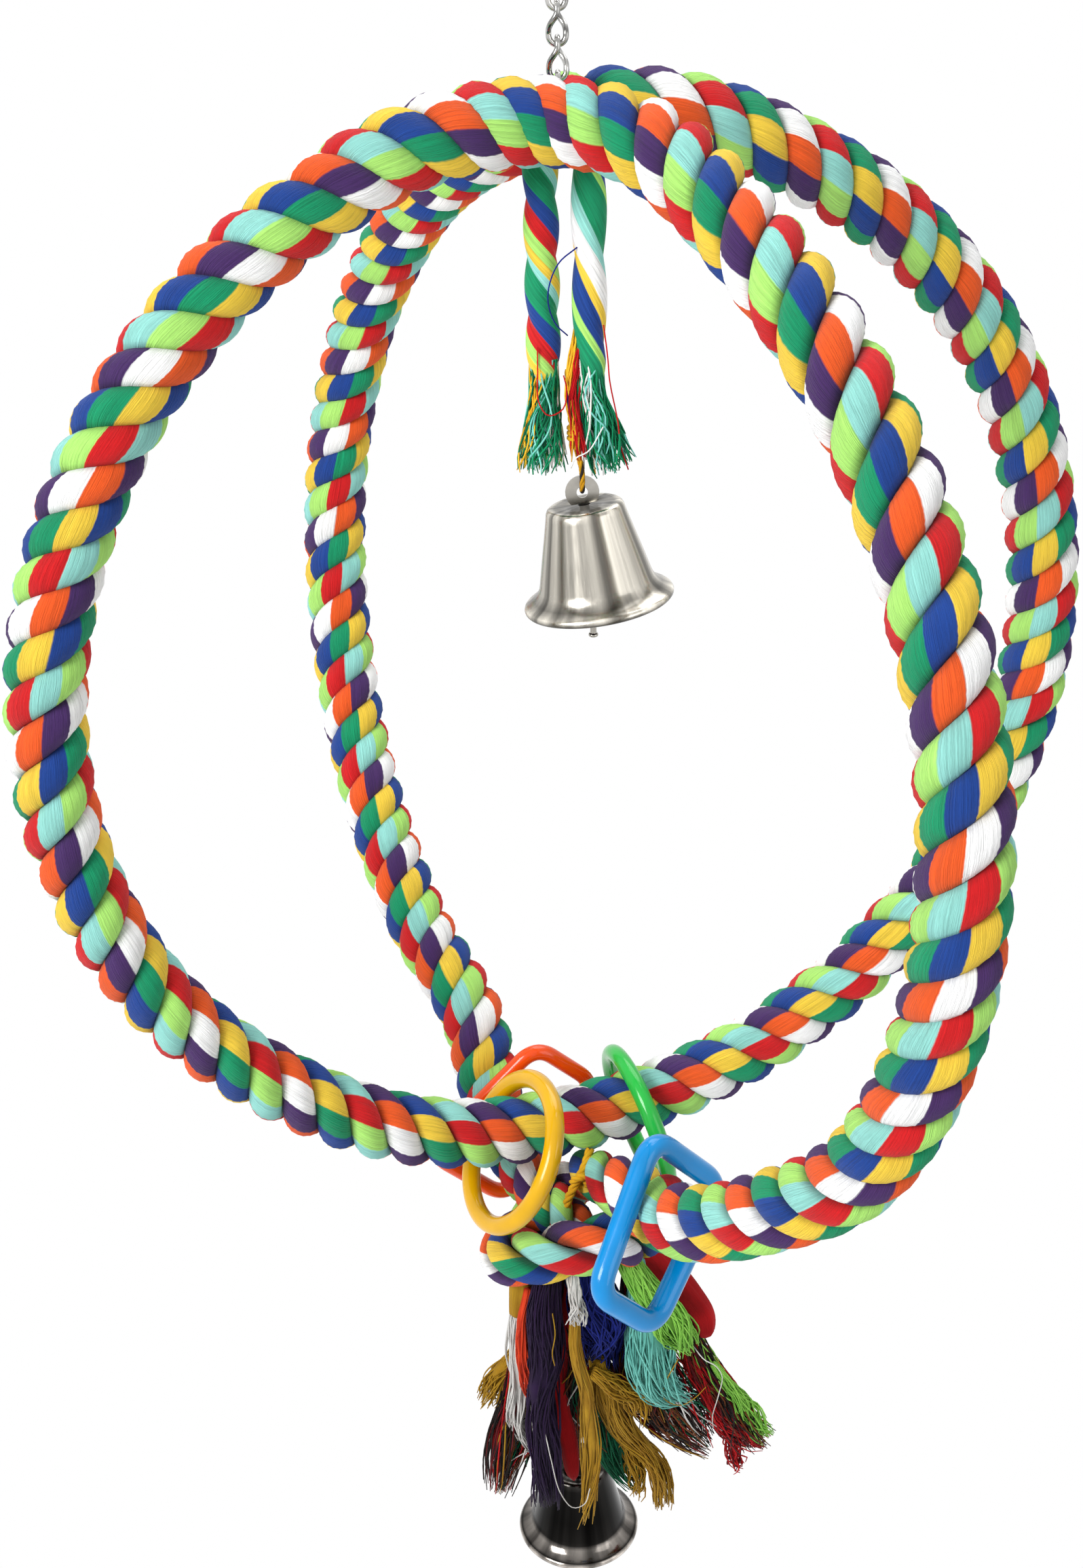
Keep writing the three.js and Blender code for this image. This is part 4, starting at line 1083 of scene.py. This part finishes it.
# Each hank's route, its widths along it and its dye
HANKS = {
    "purple": ([(-9, -28, -216), (-12, -30, -241), (-12, -31, -256), (-14, -32, -275), (-13, -33, -298),
                (-12, -34, -329)], [9, 14, 14, 11, 8, 8], "purple"),
    "blue": ([(2, -30, -217), (7, -26, -240), (9, -26, -253), (12, -27, -269)], [12, 19, 18, 11], "blue"),
    "gold_front": ([(-0.5, -36, -227), (-1, -38, -250), (3, -36, -271), (4, -34, -288), (5, -34, -304),
                    (2, -34, -339)], [4, 5, 6, 6, 6, 6], "gold"),
    "gold_right": ([(7, -30, -262), (12, -27, -286), (18, -24, -302), (26, -22, -314), (31, -21, -327),
                    (33, -20, -346)], [6, 11, 11, 9, 9, 6], "gold"),
    "red_centre": ([(0, -20, -226), (-8, -22, -278), (-7, -24, -293), (-4, -26, -306),
                    (-2, -27, -325)], [5, 7, 8, 8, 5], "red"),
    "white": ([(-19, -18, -232), (-21, -20, -246), (-22, -22, -264), (-22, -23, -281), (-21, -24, -296),
               (-16, -26, -308)], [5, 8, 9, 10, 10, 6], "white"),
    "orange": ([(-18, -25, -232), (-20, -27, -247), (-20, -29, -262), (-18, -30, -277),
                (-15, -31, -289)], [3, 5, 5, 5, 3], "orange"),
    "yellow": ([(-18, -9, -262), (-23, -10, -276), (-30, -11, -285),
                (-34, -12, -299)], [5, 8, 10, 9], "gold"),
    "core_left": ([(-19, -8, -224), (-20, -12, -280), (-24, -16, -304), (-28, -20, -316),
                   (-31, -22, -333)], [6, 8, 11, 13, 9], "core"),
    "green": ([(4, -20, -227), (5, -14, -270), (10, -15, -300), (14, -16, -317), (19, -18, -330),
               (23, -19, -335)], [5, 6, 8, 10, 12, 9], "green"),
    "aqua": ([(22, -20, -214), (24, -25, -240), (27, -29, -258), (31, -30, -272),
              (40, -27, -283)], [4, 9, 17, 17, 9], "aqua"),
    "lime": ([(17, -29, -213), (26, -31, -231), (35, -30, -245), (42, -28, -259)], [8, 12, 12, 8], "lime"),
    "red": ([(17, -21, -209), (26, -18, -222), (34, -16, -234), (41, -15, -244), (48, -15, -256),
             (49, -15, -266)], [11, 15, 14, 12, 10, 7], "red"),
    "core_right": ([(36, -12, -254), (43, -14, -268), (51, -14, -285), (61, -14, -303),
                    (72, -14, -319)], [7, 10, 11, 12, 9], "red_lime"),
    "core_fan": ([(22, -13, -217), (22, -12, -278), (27, -14, -294), (37, -14, -305), (45, -14, -316),
                  (51, -14, -322)], [6, 9, 12, 14, 14, 9], "core"),
    "mustard": ([(-19, -18, -222), (-21, -23, -235), (-22, -23, -247)], [6, 8, 6], "gold"),
    "white_loop": ([(-2, -36, -211), (-1, -40, -223), (0, -42, -235)], [4, 6, 6], "white"),
}
# The dark inner yarns are mixed from these, in the orders below
CORE_DYES = ("black", "maroon", "rust", "green", "red", "white", "gold", "lime")
MIXES = {
    "core": [0, 1, 0, 2, 0, 1, 6, 0, 4, 0, 1, 2, 3, 0, 4, 0, 5],
    "red_lime": [4, 0, 4, 7, 1, 4, 0, 7, 4, 2, 7, 0, 1],
}
STRIPS = {"red": [4, 4, 4, 1], "lime": [7]}
# More yarn behind and beside a hank: a route, its widths, how many yarns, and a strip's dye or the hank's own
FILL = {
    "core_fan": [
        ([(2, -20, -227), (3, -13, -262), (7, -12, -288), (14, -12, -312)], [8, 15, 19, 18], 120, "own"),
        ([(20, -14, -222), (26, -16, -262), (36, -16, -288), (46, -15, -312)], [6, 14, 20, 20], 120, "own")],
    "core_left": [
        ([(-12, -12, -228), (-14, -14, -268), (-18, -17, -300), (-24, -19, -322)],
         [8, 12, 15, 13], 120, "own"),
        ([(-4, -17, -228), (-3, -17, -262), (-1, -18, -285), (1, -19, -308)], [8, 13, 14, 10], 120, "own")],
    "core_right": [
        ([(32, -13, -238), (42, -15, -266), (54, -15, -290), (68, -15, -314)], [7, 11, 13, 12], 90, "own"),
        ([(40, -18, -266), (44, -18, -277), (50, -18, -288), (57, -18, -303), (66, -17, -315),
          (73, -17, -318)], [4, 6, 8, 8, 7, 4], 90, "red"),
        ([(55, -17, -300), (60, -17, -315), (63, -16, -331)], [6, 6, 4], 40, "red"),
        ([(52, -18, -276), (57, -18, -285), (63, -18, -295), (69, -17, -306), (75, -17, -313)],
         [3, 5, 6, 6, 5], 60, "lime")],
    "gold_right": [
        ([(5, -36, -262), (13, -35, -270), (20, -33, -277), (25, -31, -289)], [5, 8, 8, 6], 60, "own"),
        ([(14, -24, -298), (19, -22, -311), (22, -22, -322), (23, -22, -338)], [5, 7, 7, 5], 50, "own")],
}
# Single threads pulled out of a hank
THREADS = {
    "aqua": [
        ("white", [(43, -29, -257), (47, -34, -259.5), (51, -35, -261.5), (53.6, -35, -266.5),
                   (52.8, -33, -277.3), (51, -30, -290.9), (51.6, -28, -298.4)]),
        ("gold", [(37, -37, -256.3), (32.3, -38, -266.7), (31.7, -38, -273.8), (37.9, -38, -277.6),
                  (43.4, -37, -275.1), (47.6, -36, -270.8)])],
    "white": [
        ("white", [(-15, -32, -284), (-12.5, -38.5, -291), (-10.7, -38.5, -302.6), (-7.4, -38.5, -319.5),
                   (-2.6, -38.5, -327.2), (1.7, -38.5, -325.5), (3.9, -38, -318)])],
    "purple": [
        ("gold", [(-9, -36.6, -234), (-8.2, -37.4, -243), (-9.4, -37.6, -252), (-8.6, -37.2, -258)])],
}
# Painted shade: how much darker each yarn is painted inside the tassel than the same yarn elsewhere
TASSEL_PAINTED_SHADE = {"white": 0.92, "purple": 0.68, "gold": 0.76, "green": 0.86, "black": 0.7, "rust": 0.8}
TASSEL_YARN = 0.62
HEART_WIDTH = 0.75  # of a hank's width, filled by one soft body that thins out below
YARN_SHARE = 0.45  # of the yarns that would fill a hank's widest place
YARN_COUNTS = (30, 190)
NEAT_FAN = 0.3
LOOSE_FAN = 0.8
# Hanks that are pressed smooth like felt
FELT = ("red", "mustard", "red_centre")
FELT_DEPTH = 0.6  # front to back, as a share of the width
FELT_RIBS = [(0.07, 5, 3), (0.03, 11, -2)]  # height, number round, and turn from end to end
FELT_END = 0.07  # share of the length that is rounded off
FELT_SIDES = 32
FELT_THREADS = 16

# Shaded copies of the yarns, darkened by the tassel's painted shade
tassel_yarn = {name: yarn_in_painted_light("tassel", name, TASSEL_PAINTED_SHADE.get(name, 1)) for name in YARNS}


def felt(build, path, radius):
    share = path.s / path.length
    end = np.sqrt(np.clip(1 - np.clip((share - (1 - FELT_END)) / FELT_END, 0, 1) ** 2, 0.01, 1))
    around = round_angles(FELT_SIDES)
    ribs = 1
    for height, number, turn in FELT_RIBS:
        ribs = ribs + height * np.cos(number * around + turn * share[:, None])
    ring = path.rings(around) * (1, FELT_DEPTH, 1)
    points = path.p[:, None] + ((radius * end)[:, None] * ribs)[..., None] * ring
    build.grid(points, path.skin(np.linspace(0, FELT_THREADS, FELT_SIDES + 1)))


def hank(name, route, widths, dye):
    node = "tassel_" + name
    path = Path(spline(at_hoops(route)), steps=36)
    radius = path.radii(widths)
    mixed = dye in MIXES
    kinds = MIXES.get(dye, [0])
    build = Build(node + "_yarns")
    if name in FELT:
        felt(build, path, radius)
    else:
        thin = 1 - 0.9 * smoothstep(path.s / path.length, 0.5, 0.95)
        build.tube(path, radius * HEART_WIDTH * thin, sides=10)
        count = int(np.clip(YARN_SHARE * (max(widths) / TASSEL_YARN) ** 2, *YARN_COUNTS))
        yarns(build, path, radius, count, TASSEL_YARN, kinds, LOOSE_FAN if mixed else NEAT_FAN,
              ragged=0.26, sway=0.6, steps=16, locks=6)
    for line, wide, count, strip in FILL.get(name, []):
        path = Path(spline(at_hoops(line)), steps=30)
        yarns(build, path, path.radii(wide), count, TASSEL_YARN, STRIPS.get(strip, kinds), LOOSE_FAN,
              ragged=0.3, sway=1.2, steps=14, locks=5)
    finishes = [tassel_yarn[yarn] for yarn in (CORE_DYES if mixed else (dye,))]
    for thread, line in THREADS.get(name, []):
        loose_thread(build, line, len(finishes))
        finishes.append(tassel_yarn[thread])
    build.make("hoop", finishes, [node])


for hank_name, hank_form in HANKS.items():
    hank(hank_name, *hank_form)
